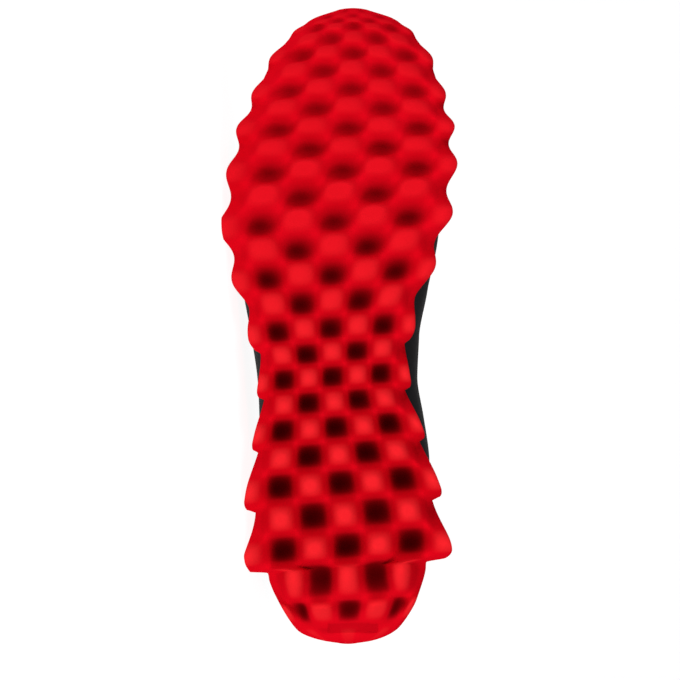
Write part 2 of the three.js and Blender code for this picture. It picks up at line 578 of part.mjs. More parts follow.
function laceStrip(fromTurn, toTurn) {
  const [from, to] = [eyeletSeat(fromTurn), eyeletSeat(toTurn)];
  const start = from.point.clone().addScaledVector(from.out, laceLift);
  const end = to.point.clone().addScaledVector(to.out, laceLift);
  const along = end.clone().sub(start).normalize();
  const skin = new Skin();
  const sections = [-0.06, 0.12, 0.3, 0.5, 0.7, 0.88, 1.06].map((t) => {
    const up = from.out.clone().lerp(to.out, clamp(t, 0, 1)).normalize();
    const across = along.clone().cross(up).normalize().multiplyScalar(laceWidth / 2);
    const rise = ballWidth * laceArch * 4 * clamp(t, 0, 1) * (1 - clamp(t, 0, 1));
    const centre = start.clone().lerp(end, t).addScaledVector(up, rise);
    const thick = up.clone().multiplyScalar(laceThickness / 2);
    const corner = (a, b) => centre.clone().addScaledVector(across, a).addScaledVector(thick, b);
    return skin.row([corner(-1, -1), corner(1, -1), corner(1, 1), corner(-1, 1)]);
  });
  sections.slice(1).forEach((row, k) => skin.band(sections[k], row));
  const [first, last] = [sections[0], sections.at(-1)];
  skin.faces.push([first[0], first[1], first[2]], [first[0], first[2], first[3]]);
  skin.faces.push([last[0], last[2], last[1]], [last[0], last[3], last[2]]);
  return skin.solid();
}

function makeLaces() {
  const strips = [laceStrip(-eyelets[0].turn, eyelets[0].turn)];
  eyelets.slice(1).forEach(({ turn }, k) => {
    strips.push(laceStrip(-eyelets[k].turn, turn), laceStrip(eyelets[k].turn, -turn));
  });
  return wasm.Manifold.union(strips);
}

const materials = {
  rubber: new THREE.MeshStandardMaterial({ color: "#d8101c", roughness: 0.55, metalness: 0 }),
  cloth: new THREE.MeshStandardMaterial({ color: "#17171a", roughness: 0.9, metalness: 0 }),
  insole: new THREE.MeshStandardMaterial({ color: "#1d1d20", roughness: 0.95, metalness: 0 }),
  lace: new THREE.MeshStandardMaterial({ color: "#141416", roughness: 0.85, metalness: 0 }),
  eyelet: new THREE.MeshStandardMaterial({ color: "#2a2a2d", roughness: 0.35, metalness: 0.9 }),
};

const pieces = [
  { name: "sole", solid: makeSole(), material: materials.rubber, density: 1.1 },
  { name: "upper", solid: makeUpper(), material: materials.cloth, density: 0.55 },
  { name: "insole", solid: makeInsole(), material: materials.insole, density: 0.2 },
  { name: "tongue", solid: makeTongue(), material: materials.cloth, density: 0.3 },
  { name: "laces", solid: makeLaces(), material: materials.lace, density: 0.9 },
];

// Lying down: the direction that points at the floor is the one that brings the shoe's weight lowest,
// starting from the outer side.
function floorDirection(points, centre) {
  const direction = ([lean, yaw]) =>
    new THREE.Vector3(Math.cos(lean) * Math.cos(yaw), Math.sin(yaw), Math.sin(lean) * Math.cos(yaw));
  const weightHeight = (angles) => {
    const down = direction(angles);
    return Math.max(...points.map((p) => p.dot(down))) - centre.dot(down);
  };
  let best = [0, 0];
  let lowest = weightHeight(best);
  const spokes = 24;
  for (let step = 0.1; step > 1e-5; ) {
    const tries = Array.from({ length: spokes }, (_, k) => {
      const angle = (2 * Math.PI * k) / spokes;
      return [best[0] + step * Math.cos(angle), best[1] + step * Math.sin(angle)];
    });
    const heights = tries.map(weightHeight);
    const found = heights.indexOf(Math.min(...heights));
    if (heights[found] < lowest) {
      best = tries[found];
      lowest = heights[found];
    } else {
      step /= 1.6;
    }
  }
  return direction(best);
}

function cornersOf(solid) {
  const { vertProperties } = solid.getMesh();
  return Array.from({ length: vertProperties.length / 3 }, (_, k) =>
    new THREE.Vector3().fromArray(vertProperties, 3 * k),
  );
}

function centreOfWeight() {
  const total = new THREE.Vector3();
  let weight = 0;
  for (const { solid, density } of pieces) {
    const { vertProperties, triVerts } = solid.getMesh();
    const corner = (k) => new THREE.Vector3().fromArray(vertProperties, 3 * triVerts[k]);
    for (let k = 0; k < triVerts.length; k += 3) {
      const [a, b, c] = [corner(k), corner(k + 1), corner(k + 2)];
      const volume = (density * a.dot(b.clone().cross(c))) / 6;
      total.addScaledVector(a.add(b).add(c), volume / 4);
      weight += volume;
    }
  }
  return total.divideScalar(weight);
}

const touching = pieces.filter(({ name }) => name === "sole" || name === "upper");
const corners = touching.flatMap(({ solid }) => cornersOf(solid));
const down = floorDirection(corners, centreOfWeight());
const floorLevel = Math.max(...corners.map((p) => p.dot(down))) - press;

// The floor as a block that takes off what the shoe's weight would flatten.
function floorBlock() {
  const size = 2 * soleLength;
  const block = new THREE.BoxGeometry(size, size, size);
  return toSolid(placed(block, down.clone().multiplyScalar(floorLevel + size / 2), down));
}
for (const piece of touching) piece.solid = piece.solid.subtract(floorBlock());

const shoe = new THREE.Group();
for (const { name, solid, material } of pieces) {
  const mesh = new THREE.Mesh(toGeometry(solid), material);
  mesh.name = name;
  shoe.add(mesh);
}
for (const { number, turn } of eyelets) {
  for (const [side, t] of [["outer", turn], ["inner", -turn]]) {
    const { point, out } = eyeletSeat(t);
    const mesh = new THREE.Mesh(placed(eyeletGeometry(), point, out), materials.eyelet);
    mesh.name = `eyelet_${side}_${number}`;
    shoe.add(mesh);
  }
}

// The shoe's own axes as they lie: toe towards -X, tread towards -Y, outer side down.
const upward = down.clone().negate();
const heelward = new THREE.Vector3(0, -1, 0).addScaledVector(down, down.y).normalize();
const lying = new THREE.Matrix4().makeBasis(heelward, upward.clone().cross(heelward), upward).invert();
shoe.quaternion.setFromRotationMatrix(lying);

// The origin is on the floor, under the middle of the lying shoe.
const extent = new THREE.Box3().setFromObject(shoe, true);
const middle = extent.getCenter(new THREE.Vector3());
shoe.position.set(-middle.x, -middle.y, -extent.min.z);

const sneaker = new THREE.Group();
sneaker.add(shoe);

export default sneaker;
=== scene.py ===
"""Looks of a right sneaker that lies on its outer side, seen square on to its red egg-crate tread.

Every form is worked out in the shoe's own axes, in millimetres: X to the outer side, Y from heel to
toe, Z up from the ground that it would stand on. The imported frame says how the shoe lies, and `lay`
puts it there.
"""

import json
import math

import bpy
import bmesh
import numpy as np
from mathutils import Matrix, Vector


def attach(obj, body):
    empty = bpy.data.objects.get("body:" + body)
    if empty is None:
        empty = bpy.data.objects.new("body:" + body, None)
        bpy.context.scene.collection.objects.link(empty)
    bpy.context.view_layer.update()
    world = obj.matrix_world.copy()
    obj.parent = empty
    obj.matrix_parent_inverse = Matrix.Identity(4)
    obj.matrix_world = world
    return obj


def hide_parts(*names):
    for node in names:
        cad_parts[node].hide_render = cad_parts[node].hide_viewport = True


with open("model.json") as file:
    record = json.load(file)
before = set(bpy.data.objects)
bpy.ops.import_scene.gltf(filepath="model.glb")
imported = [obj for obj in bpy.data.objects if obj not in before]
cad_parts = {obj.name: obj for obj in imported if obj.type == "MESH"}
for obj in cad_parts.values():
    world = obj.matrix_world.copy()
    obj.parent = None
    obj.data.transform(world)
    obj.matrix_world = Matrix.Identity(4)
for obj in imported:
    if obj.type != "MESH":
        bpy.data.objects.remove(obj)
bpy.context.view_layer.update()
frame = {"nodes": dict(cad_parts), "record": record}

# Driving dimensions in mm, as in the part's source, but for the lace, which is thinner here
SOLE_LENGTH = 302.0
BALL_WIDTH = 106.0
LOBE_DEPTH = 17.0  # what the shares of the tread's heights are taken of
HEEL_STACK = 38.0
COLLAR_HEIGHT = 108.0
RIM_WALL = 3.0
UPPER_WALL = 2.2
COLLAR_PAD = 3.6
FACING_STEP = 0.8
INSOLE_THICKNESS = 4.5
TONGUE_THICKNESS = 3.6
LACE_WIDTH = 6.5
LACE_THICKNESS = 1.3
EYELET_BORE = 1.9
EYELET_FLANGE_RADIUS = 4.1
EYELET_PAIRS = 5
FOOT_GAP = 0.5
GAP = 0.35

# The lattice of lobes and pits: rows from the heel to the toe, and columns from -EDGE_COLUMN at the
# inner edge to EDGE_COLUMN at the outer one
EDGE_COLUMN = 3.0
HEEL_ROW = -1.3
TOE_ROW = 27.5
BALL_ROWS = (8, 13)  # between these rows the heel's squarer lobes turn into the ball's
PLATEAU = 0.22
ROW_SLOPE = 0.07
TOOTH_BACK = 0.3
TOOTH_STEP = 0.08
TIP_ROUND = 0.3
EDGE_ROUND = 1.6

# Places on the upper: turns from 0 at the toe to 1 at the heel, and climbs from 0 at the rim to 1
THROAT_TOP = 0.55
FACING_END = 0.577
FACING_EDGE = 0.8
EYELET_CLIMB = 0.905


def read_table(text):
    """The named columns of a short table, as arrays."""
    head, *rows = [line.split() for line in text.strip().splitlines()]
    return {name: np.array([float(row[k]) for row in rows]) for k, name in enumerate(head)}


# Plan of the sole: shares of SOLE_LENGTH (along) and of BALL_WIDTH (the rest).
PLAN = read_table("""
    row  along  outer  inner  rim_outer rim_inner bulge  bow
    -1.3 0.000  0.045  0.075  0.045     0.075     0.000 -0.008
    -1.0 0.003  0.093  0.126  0.093     0.126     0.000 -0.008
    -0.5 0.022  0.202  0.236  0.202     0.236     0.000  0.000
     0.0 0.064  0.279  0.320  0.279     0.320     0.000  0.000
     1.0 0.107  0.334  0.362  0.332     0.359     0.000  0.000
    1.30 0.121  0.345  0.368  0.342     0.363     0.003  0.000
    1.40 0.125  0.408  0.430  0.347     0.364     0.040  0.000
     2.0 0.152  0.418  0.442  0.354     0.363     0.040  0.000
     4.0 0.252  0.424  0.399  0.349     0.340     0.020  0.000
     6.0 0.341  0.389  0.327  0.332     0.288     0.016  0.000
     8.0 0.420  0.372  0.277  0.340     0.241     0.017  0.000
    10.0 0.496  0.413  0.298  0.373     0.260     0.019  0.000
    12.0 0.581  0.479  0.382  0.429     0.340     0.021  0.000
    14.0 0.665  0.538  0.458  0.485     0.420     0.023  0.000
    16.0 0.747  0.507  0.484  0.481     0.453     0.018  0.000
    18.0 0.814  0.464  0.474  0.448     0.453     0.016  0.010
    20.0 0.874  0.396  0.436  0.390     0.428     0.014  0.025
    22.0 0.930  0.318  0.380  0.314     0.376     0.010  0.023
    24.0 0.971  0.212  0.290  0.212     0.290     0.006  0.018
    26.0 0.988  0.134  0.214  0.134     0.214     0.000  0.012
    27.5 1.000  0.028  0.104  0.028     0.104     0.000  0.008
""")

# Heights of the sole: shares of LOBE_DEPTH (floor, lobe, curl) and of HEEL_STACK (bed, rim).
HEIGHTS = read_table("""
    row  floor lobe curl bed   rim
    -1.3 2.30  0.00 0.00 1.000 1.390
    -1.0 1.85  0.00 0.05 1.000 1.390
    -0.6 1.58  0.00 0.25 1.000 1.385
    -.35 1.46  0.10 0.28 1.000 1.383
     0.0 1.34  0.66 0.30 1.000 1.380
     1.0 1.22  1.06 0.20 1.000 1.350
     2.0 1.18  1.24 0.05 1.000 1.300
     4.0 1.15  1.21 0.04 0.970 1.220
     6.0 1.08  1.11 0.04 0.910 1.160
     8.0 1.00  0.90 0.04 0.830 1.090
    10.0 0.90  0.80 0.04 0.750 1.010
    12.0 0.76  0.72 0.04 0.685 0.950
    14.0 0.66  0.71 0.04 0.645 0.905
    16.0 0.60  0.65 0.04 0.630 0.895
    18.0 0.60  0.52 0.08 0.645 0.920
    20.0 0.70  0.43 0.20 0.685 0.975
    22.0 0.93  0.33 0.35 0.760 1.050
    24.0 1.30  0.20 0.36 0.840 1.130
    26.0 1.60  0.06 0.25 0.900 1.180
    27.5 2.10  0.00 0.00 0.920 1.210
""")

# The upper's opening, round either side from the toe (0) to the heel (1): shares of SOLE_LENGTH
# (along), of COLLAR_HEIGHT (up, drop) and of BALL_WIDTH (the rest).
OPENING = read_table("""
    at    along middle out    up    swell_outer swell_inner lift reach drop
    -0.06 0.682 0.004  -0.05  0.692 0.016       0.016       0.80 0.560 0.045
    0.00  0.690 0.000  0.000  0.690 0.014       0.014       0.82 0.620 0.045
    0.06  0.682 0.004  0.050  0.692 0.016       0.016       0.80 0.560 0.045
    0.16  0.645 0.010  0.095  0.715 0.022       0.022       0.68 0.400 0.045
    0.28  0.580 0.016  0.115  0.780 0.045       0.055       0.52 0.250 0.060
    0.42  0.500 0.020  0.140  0.870 0.120       0.130       0.42 0.200 0.065
    0.55  0.420 0.020  0.175  0.965 0.130       0.165       0.40 0.160 0.075
    0.62  0.368 0.016  0.235  0.955 0.125       0.155       0.40 0.100 0.100
    0.70  0.295 0.010  0.287  0.870 0.110       0.130       0.40 0.060 0.120
    0.78  0.215 0.000  0.300  0.835 0.065       0.080       0.40 0.045 0.130
    0.86  0.135 -0.008 0.276  0.880 0.030       0.035       0.40 0.040 0.140
    0.94  0.062 -0.012 0.172  0.970 0.022       0.022       0.40 0.035 0.150
    1.00  0.036 -0.012 0.000  1.000 0.020       0.020       0.40 0.030 0.160
    1.06  0.062 -0.012 -0.172 0.970 0.022       0.022       0.40 0.035 0.150
""")


def mix(a, b, t):
    return a + (b - a) * t


def ease(low, high, v):
    t = np.clip((np.asarray(v, float) - low) / (high - low), 0, 1)
    return t * t * (3 - 2 * t)


def unit(v):
    return v / np.maximum(np.linalg.norm(v, axis=-1, keepdims=True), 1e-9)


def stack(x, y, z):
    return np.stack(np.broadcast_arrays(x, y, z), axis=-1)


def track(table, column, at):
    """Smooth curve through one column of a table that never swings past its values."""
    x = next(iter(table.values()))
    y = table[column]
    slope = np.diff(y) / np.diff(x)
    product = slope[:-1] * slope[1:]
    total = np.where(product > 0, slope[:-1] + slope[1:], 1)
    inner = np.where(product > 0, 2 * product / total, 0)
    tangent = np.concatenate([slope[:1], inner, slope[-1:]])
    at = np.asarray(at, float)
    k = np.clip(np.searchsorted(x, at, side="right") - 1, 0, len(x) - 2)
    span = x[k + 1] - x[k]
    t = np.clip((at - x[k]) / span, 0, 1)
    lean = span * (tangent[k] * t * (1 - t) ** 2 - tangent[k + 1] * t * t * (1 - t))
    return y[k] * (1 + 2 * t) * (1 - t) ** 2 + y[k + 1] * t * t * (3 - 2 * t) + lean


def lengths_along(points):
    """How far along a line of points each of them lies."""
    steps = np.linalg.norm(np.diff(points, axis=0), axis=1)
    return np.concatenate([[0], np.cumsum(steps)])


def plan(column, row):
    return BALL_WIDTH * track(PLAN, column, row)


def bed_height(row):
    return HEEL_STACK * track(HEIGHTS, "bed", row)


def rim_height(row):
    return HEEL_STACK * track(HEIGHTS, "rim", row)


class Skin:
    """Collects grids of points and their faces, and becomes one mesh object."""

    def __init__(self):
        self.points = []
        self.count = 0
        self.faces = []
        self.uvs = []
        self.slots = []

    def add(self, points):
        """Adds points of any shape (..., 3) and returns their numbers in that shape."""
        flat = np.asarray(points, float).reshape(-1, 3)
        numbers = np.arange(self.count, self.count + len(flat)).reshape(np.shape(points)[:-1])
        self.points.append(flat)
        self.count += len(flat)
        return numbers

    def quads(self, grid, uv=None, slot=0):
        """Faces between neighbouring rows and columns of a grid of point numbers."""
        corners = [grid[:-1, :-1], grid[1:, :-1], grid[1:, 1:], grid[:-1, 1:]]
        self.faces.append(np.stack(corners, -1).reshape(-1, 4))
        if uv is None:
            uv = np.zeros(grid.shape + (2,))
        corners = [uv[:-1, :-1], uv[1:, :-1], uv[1:, 1:], uv[:-1, 1:]]
        self.uvs.append(np.stack(corners, -2).reshape(-1, 4, 2))
        self.slots.append(np.full(len(self.faces[-1]), slot))

    def drop(self, keep_face):
        """Leaves out the faces for which keep_face(centres) is false."""
        points = np.concatenate(self.points)
        for k, faces in enumerate(self.faces):
            keep = keep_face(points[faces].mean(axis=1))
            self.faces[k] = faces[keep]
            self.uvs[k] = self.uvs[k][keep]
            self.slots[k] = self.slots[k][keep]

    def build(self, name, materials, attributes=None):
        """The mesh object, laid on the floor, with its faces turned outwards and smooth shading."""
        points = lay(np.concatenate(self.points))
        points[:, 2] = np.maximum(points[:, 2], 0)
        mesh = bpy.data.meshes.new(name)
        mesh.from_pydata(points.tolist(), [], np.concatenate(self.faces).tolist())
        layer = mesh.uv_layers.new(name="cloth")
        layer.data.foreach_set("uv", np.concatenate(self.uvs).reshape(-1))
        mesh.polygons.foreach_set("material_index", np.concatenate(self.slots))
        for key, values in (attributes or {}).items():
            mesh.attributes.new(key, "FLOAT", "POINT").data.foreach_set("value", values)
        mesh.polygons.foreach_set("use_smooth", np.ones(len(mesh.polygons), bool))
        for material in materials:
            mesh.materials.append(material)
        shell = bmesh.new()
        shell.from_mesh(mesh)
        bmesh.ops.remove_doubles(shell, verts=shell.verts, dist=1e-7)
        bmesh.ops.recalc_face_normals(shell, faces=shell.faces)
        shell.to_mesh(mesh)
        shell.free()
        obj = bpy.data.objects.new(name, mesh)
        bpy.context.scene.collection.objects.link(obj)
        return obj


def closed(grid):
    """A grid of point numbers whose first column follows its last."""
    return np.concatenate([grid, grid[:, :1]], axis=1)


# Sole
def edge_swing(row):
    """Swing of the tread's edge, from 1 at the tip of a lobe to -1 in a notch."""
    row = np.asarray(row, float)
    skew = 1 - ease(8, 12, row)
    notch = 1 - TOOTH_BACK * skew
    low = 2 * np.floor((row + notch) / 2) - notch
    peak = low + 1 - (1 - TOOTH_STEP - TIP_ROUND) * skew
    rise = np.clip((row - low) / (peak - low), 0, 1)
    back = TOOTH_STEP / (TOOTH_STEP + TIP_ROUND)
    tip = np.sqrt(1 - np.clip((1 - rise) / (1 - back), 0, 1) ** 2)
    blunt = np.where(rise < back, rise / back - 1, tip)
    fall = np.clip((row - peak) / (low + 2 - peak), 0, 1)
    run_out = mix(np.cos(np.pi * fall), 1 - 2 * fall**1.25, 0.7 * skew)
    return np.where(row < peak, mix(-np.cos(np.pi * rise), blunt, skew), run_out)


# The last lobes are fingers that point at the heel, and stand further apart than the narrowing rows
# would have them: the lattice's row for each row there, and the share its inner columns shrink to.
FINGERS = read_table("""
    row   lattice squeeze
    -1.3  -0.9    0.76
    -0.6  -0.75   0.76
    -0.3  -0.4    0.77
    0.2   0.5     0.80
    1.0   1.0     0.95
    2.0   2.0     1.0
    30.0  30.0    1.0
""")


def lattice_place(column, row):
    """Where a place lies in the lattice of lobes and pits."""
    free = 1 - ease(1.5, EDGE_COLUMN, np.abs(column))
    return column * mix(1, track(FINGERS, "squeeze", row), free), track(FINGERS, "lattice", row)


def lobe_share(column, row):
    """1 on a lobe's top and 0 on a pit's floor, with rounded shoulders."""
    column, row = lattice_place(column, row)
    swing = -np.cos(np.pi * column) * np.cos(np.pi * row)
    flat = math.cos(math.pi * PLATEAU) ** 2
    steep = swing / flat
    soft = steep / (1 + np.abs(steep) ** 5) ** 0.2
    rounded = mix(soft, swing, 0.6)
    return 1 - ((1 - rounded) / 2) ** mix(1, 1.3, ease(*BALL_ROWS, row))


def square_share(column, row):
    """How far inside its rounded square a place is: 1 mid lobe, -1 mid pit and 0 between them."""
    column, row = lattice_place(column, row)
    across = np.cos(np.pi * column)
    along = np.cos(np.pi * row)
    return -math.sqrt(2) * across * along / np.maximum(np.hypot(across, along), 1e-6)


# How lobes and pits lean, in mm at their ends (towards the toe, and towards the inner side), how
# strong the painted shade is down in a pit, and how much of the pale painted highlight the top of a
# lobe has.
LEANS = read_table("""
    row   lobe_toe pit_toe pit_inner shade pale
    -1.3   0.0      0.0    0.0       0.0   0.0
    -0.7   0.0      0.3    0.0       0.0   0.3
    -0.5   0.0      0.4    0.0       0.5   0.7
    -0.3   0.0      0.4    0.0       2.4   1.0
     0.0  -0.5      0.4    0.4       2.0   0.9
     1.0   0.4      0.3    0.4       2.2   1.0
     2.0   1.4      1.4    0.2       2.2   1.0
     4.0   1.1      1.2   -0.2       2.2   1.0
     6.0   0.7      0.6   -0.9       2.2   1.0
     8.0   1.1      0.6   -0.8       2.2   1.0
    10.0   1.6      0.3   -0.5       2.1   0.8
    12.0   1.9     -0.2   -0.7       1.9   0.5
    14.0   2.4     -0.8    0.0       1.2   0.3
    16.0   1.0     -2.0    1.5       0.9   0.25
    18.0   0.4     -2.0    2.5       0.8   0.25
    20.0   0.8     -1.6    2.3       0.7   0.25
    22.0   0.5     -1.7    2.3       0.7   0.25
    24.0   0.0     -0.8    1.0       0.6   0.25
    27.5   0.0      0.0    0.0       0.3   0.0
""")


def edge_y(x, column, row):
    """How far along the sole a place of the lattice lies."""
    slope = ROW_SLOPE * ease(HEEL_ROW, 0.6, row) * (1 - ease(12, 20, row))
    bow = plan("bow", row) * (column / EDGE_COLUMN) ** 2
    return SOLE_LENGTH * track(PLAN, "along", row) - slope * x - bow


def tread_point(column, row):
    """A place of the lattice on the tread."""
    reach = np.abs(column) / EDGE_COLUMN
    swing = plan("bulge", row) * edge_swing(row) * np.clip((reach - 0.8) / 0.2, 0, 1) ** 1.5
    across = mix(-plan("inner", row), plan("outer", row), (column / EDGE_COLUMN + 1) / 2)
    x = across + np.sign(column) * swing
    share = lobe_share(column, row)
    curl = track(HEIGHTS, "curl", row) * reach**3
    floor = LOBE_DEPTH * (track(HEIGHTS, "floor", row) + curl)
    turn = EDGE_ROUND * np.clip((reach - 0.93) / 0.07, 0, 1) ** 2
    z = np.maximum(0, floor - LOBE_DEPTH * track(HEIGHTS, "lobe", row) * share) + turn
    y = edge_y(x, column, row)
    inside = 1 - ease(0.75, 0.95, reach)
    toeward = inside * mix(track(LEANS, "pit_toe", row), track(LEANS, "lobe_toe", row), share)
    inward = inside * (1 - share) * track(LEANS, "pit_inner", row)
    return stack(x - inward, y + toeward, z)


def wall_point(column, row, rise):
    """The sole's side between the tread (rise 0) and the top of the rim (rise 1)."""
    tread = tread_point(column, row)
    x = mix(-plan("rim_inner", row), plan("rim_outer", row), (column / EDGE_COLUMN + 1) / 2)
    rim = stack(x, edge_y(x, column, row), rim_height(row))
    point = mix(tread, rim, rise**1.25)
    point[..., 2] = mix(tread[..., 2], rim[..., 2], rise)
    return point


def lattice_loop(columns, rows):
    """Places round the lattice: up the inner side, across the toe, down the outer side and back."""
    across = columns[1:-1]
    side = np.full(len(rows), EDGE_COLUMN)
    column = [-side, across, side, across[::-1]]
    row = [rows, np.full(len(across), TOE_ROW), rows[::-1], np.full(len(across), HEEL_ROW)]
    return np.concatenate(column), np.concatenate(row)


def inset_loop(points, distance):
    """Points moved inwards in plan, square to the closed loop that they lie on."""
    ahead = np.roll(points, -1, axis=0) - np.roll(points, 1, axis=0)
    length = np.hypot(ahead[:, 0], ahead[:, 1])
    inward = stack(ahead[:, 1] / length, -ahead[:, 0] / length, 0)
    return points + distance * inward


def cup_side(side):
    """The cup that the rim leaves, from the toe's middle to the heel's, on one side."""
    half = np.linspace(0, EDGE_COLUMN, 9)
    rows = np.linspace(TOE_ROW, HEEL_ROW, 260)
    column = side * np.concatenate([half[:-1], np.full(len(rows), EDGE_COLUMN), half[-2::-1]])
    row = np.concatenate([np.full(8, TOE_ROW), rows, np.full(8, HEEL_ROW)])
    rim = wall_point(column, row, 1)
    ahead = np.gradient(rim, axis=0)
    out = unit(stack(-side * ahead[:, 1], side * ahead[:, 0], 0))
    length = lengths_along(rim)
    return {"length": length / length[-1], "row": row, "out": out, "point": rim - RIM_WALL * out}


CUP = {1: cup_side(1), -1: cup_side(-1)}


def cup_place(turn):
    """Row, point and outward direction on the cup's wall.

    turn runs from 0 at the toe to 1 (outer side) or -1 (inner side) at the heel.
    """
    turn = np.asarray(turn, float)
    found = []
    for side in (1, -1):
        cup = CUP[side]
        at = np.minimum(np.abs(turn), 1)
        read = [np.interp(at, cup["length"], cup["row"])]
        read += [np.interp(at, cup["length"], cup["point"][:, k]) for k in range(3)]
        read += [np.interp(at, cup["length"], cup["out"][:, k]) for k in range(3)]
        found.append(np.stack(read, -1))
    place = np.where((turn < 0)[..., None], found[1], found[0])
    return place[..., 0], place[..., 1:4], unit(place[..., 4:7])


# Upper
def wrap(turn):
    return np.where(turn > 1, turn - 2, np.where(turn < -1, turn + 2, turn))


def upper_face(turn, climb):
    """The upper's outer face. climb is -1 at the footbed, 0 at the rim and 1 at the opening."""
    turn, climb = np.broadcast_arrays(np.asarray(turn, float), np.asarray(climb, float))
    at = np.minimum(np.abs(turn), 1)
    row, point, out = cup_place(turn)
    foot = point - FOOT_GAP * out
    low_z = mix(rim_height(row), bed_height(row) + GAP, np.clip(-climb, 0, 1))
    foot[..., 2] = rim_height(row)
    opening = {name: track(OPENING, name, at) for name in OPENING if name != "at"}
    edge = stack(
        BALL_WIDTH * (opening["middle"] + np.sign(turn) * opening["out"]),
        SOLE_LENGTH * opening["along"],
        COLLAR_HEIGHT * opening["up"],
    )
    swell = BALL_WIDTH * np.where(turn < 0, opening["swell_inner"], opening["swell_outer"])
    low = foot + 1.33 * swell[..., None] * out
    low[..., 2] += opening["lift"] * (edge[..., 2] - foot[..., 2])
    high = edge + (BALL_WIDTH * opening["reach"])[..., None] * out
    high[..., 2] -= COLLAR_HEIGHT * opening["drop"]
    t = np.clip(climb, 0, 1)[..., None]
    curve = (1 - t) ** 3 * foot + 3 * (1 - t) ** 2 * t * low
    curve = curve + 3 * (1 - t) * t * t * high + t**3 * edge
    curve[..., 2] = np.where(climb < 0, low_z, curve[..., 2])
    return curve


def upper_normal(turn, climb):
    turn, climb = np.broadcast_arrays(np.asarray(turn, float), np.asarray(climb, float))
    step = 0.004
    rise = np.minimum(climb, 1 - step)
    around = upper_face(wrap(turn + step), rise) - upper_face(wrap(turn - step), rise)
    up = upper_face(turn, rise + step) - upper_face(turn, rise - np.where(rise < step, 0, step))
    return unit(np.cross(up, around))


def upper_relief(turn, climb):
    """What stands out of the cloth, or is sunk into it."""
    side = np.abs(turn)
    facing = ease(FACING_EDGE, FACING_EDGE + 0.008, climb)
    facing = facing * (1 - ease(FACING_END, FACING_END + 0.004, side))
    return FACING_STEP * facing + cloth_creases(turn, climb)


# Soft troughs (depth below 0) and ridges where the cloth gives. turn and climb: the middle; wide
# and tall: how far it fades out; lean: how much it climbs with turn; depth: in mm.
CREASES = read_table("""
    turn  climb wide tall  lean  depth
    0.22  0.50  0.10 0.045 -0.9  -0.9
    0.26  0.62  0.09 0.040 -0.9   0.5
    0.30  0.42  0.09 0.045 -0.8  -0.7
    -0.24 0.52  0.10 0.045  0.9  -0.9
    -0.29 0.62  0.09 0.040  0.9   0.5
    -0.33 0.40  0.09 0.045  0.8  -0.6
    0.66  0.62  0.05 0.070  1.6  -1.0
    0.71  0.50  0.05 0.060  1.6   0.6
    -0.67 0.62  0.05 0.070 -1.6  -1.0
    -0.72 0.50  0.05 0.060 -1.6   0.6
    0.90  0.48  0.06 0.060  0.5  -0.5
    -0.89 0.50  0.06 0.060 -0.5  -0.6
""")


def cloth_creases(turn, climb):
    total = 0.0
    for at, middle, wide, tall, lean, depth in zip(*CREASES.values()):
        across = (turn - at) / wide
        along = (climb - middle - lean * (turn - at)) / tall
        total = total + depth * np.exp(-(across**2) - along**2)
    return total * ease(0.02, 0.12, climb) * (1 - ease(0.72, 0.79, climb))


def upper_outer(turn, climb):
    relief = upper_relief(turn, climb)[..., None]
    return upper_face(turn, climb) + relief * upper_normal(turn, climb)


def upper_inner(turn, climb, extra=0.0):
    collar = ease(THROAT_TOP + 0.05, THROAT_TOP + 0.16, np.abs(turn))
    pad = COLLAR_PAD * collar * ease(0.55, 0.82, climb) * (1 - 0.6 * ease(0.9, 1, climb))
    face = upper_face(turn, climb)
    inner = face - (UPPER_WALL + pad + extra)[..., None] * upper_normal(turn, climb)
    inner[..., 2] = np.where(np.asarray(climb) <= 0, face[..., 2], inner[..., 2])
    return inner


EYELET_TURNS = np.linspace(0.14, THROAT_TOP - 0.035, EYELET_PAIRS)


def eyelet_seat(turn):
    """Where an eyelet sits on the eyestay, and the direction that it faces."""
    turn = np.array([turn])
    climb = np.array([EYELET_CLIMB])
    return upper_outer(turn, climb)[0], upper_normal(turn, climb)[0]


# How the shoe lies: its own axes as the frame has them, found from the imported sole
def shoe_axes():
    mounts = {mount["name"]: mount for mount in frame["record"]["mounts"]}
    up = -unit(np.array(mounts["tread_heel_outer"]["axis"], float))
    toe = unit(np.array([up[2], 0, -up[0]]))
    side = np.cross(toe, up)
    sole = frame["nodes"]["sole"].data
    points = np.zeros(3 * len(sole.vertices))
    sole.vertices.foreach_get("co", points)
    points = 1000 * points.reshape(-1, 3)
    innermost = tread_point(-EDGE_COLUMN, np.arange(10, 22, 0.02))[:, 0].min()
    origin = side * ((points @ side).min() - innermost)
    origin = origin + toe * (points @ toe).min() + up * (points @ up).min()
    return np.stack([side, toe, up]), origin


AXES, ORIGIN = shoe_axes()


def lay(points):
    """Points in the shoe's own axes (mm), put where the shoe lies (m)."""
    return (np.asarray(points, float) @ AXES + ORIGIN) / 1000


def lay_direction(direction):
    return Vector(np.asarray(direction, float) @ AXES)


# Materials
def node(tree, kind, **settings):
    made = tree.nodes.new(kind)
    for key, value in settings.items():
        if key in made.inputs:
            made.inputs[key].default_value = value
        else:
            setattr(made, key, value)
    return made


def blank_material(name, **settings):
    material = bpy.data.materials.new(name)
    material.use_nodes = True
    tree = material.node_tree
    shader = tree.nodes["Principled BSDF"]
    for key, value in settings.items():
        shader.inputs[key].default_value = value
    return material, tree, shader


def noise(tree, coordinates, scale, detail=4.0):
    found = node(tree, "ShaderNodeTexNoise", Scale=scale, Detail=detail)
    tree.links.new(coordinates, found.inputs["Vector"])
    return found.outputs["Fac"]


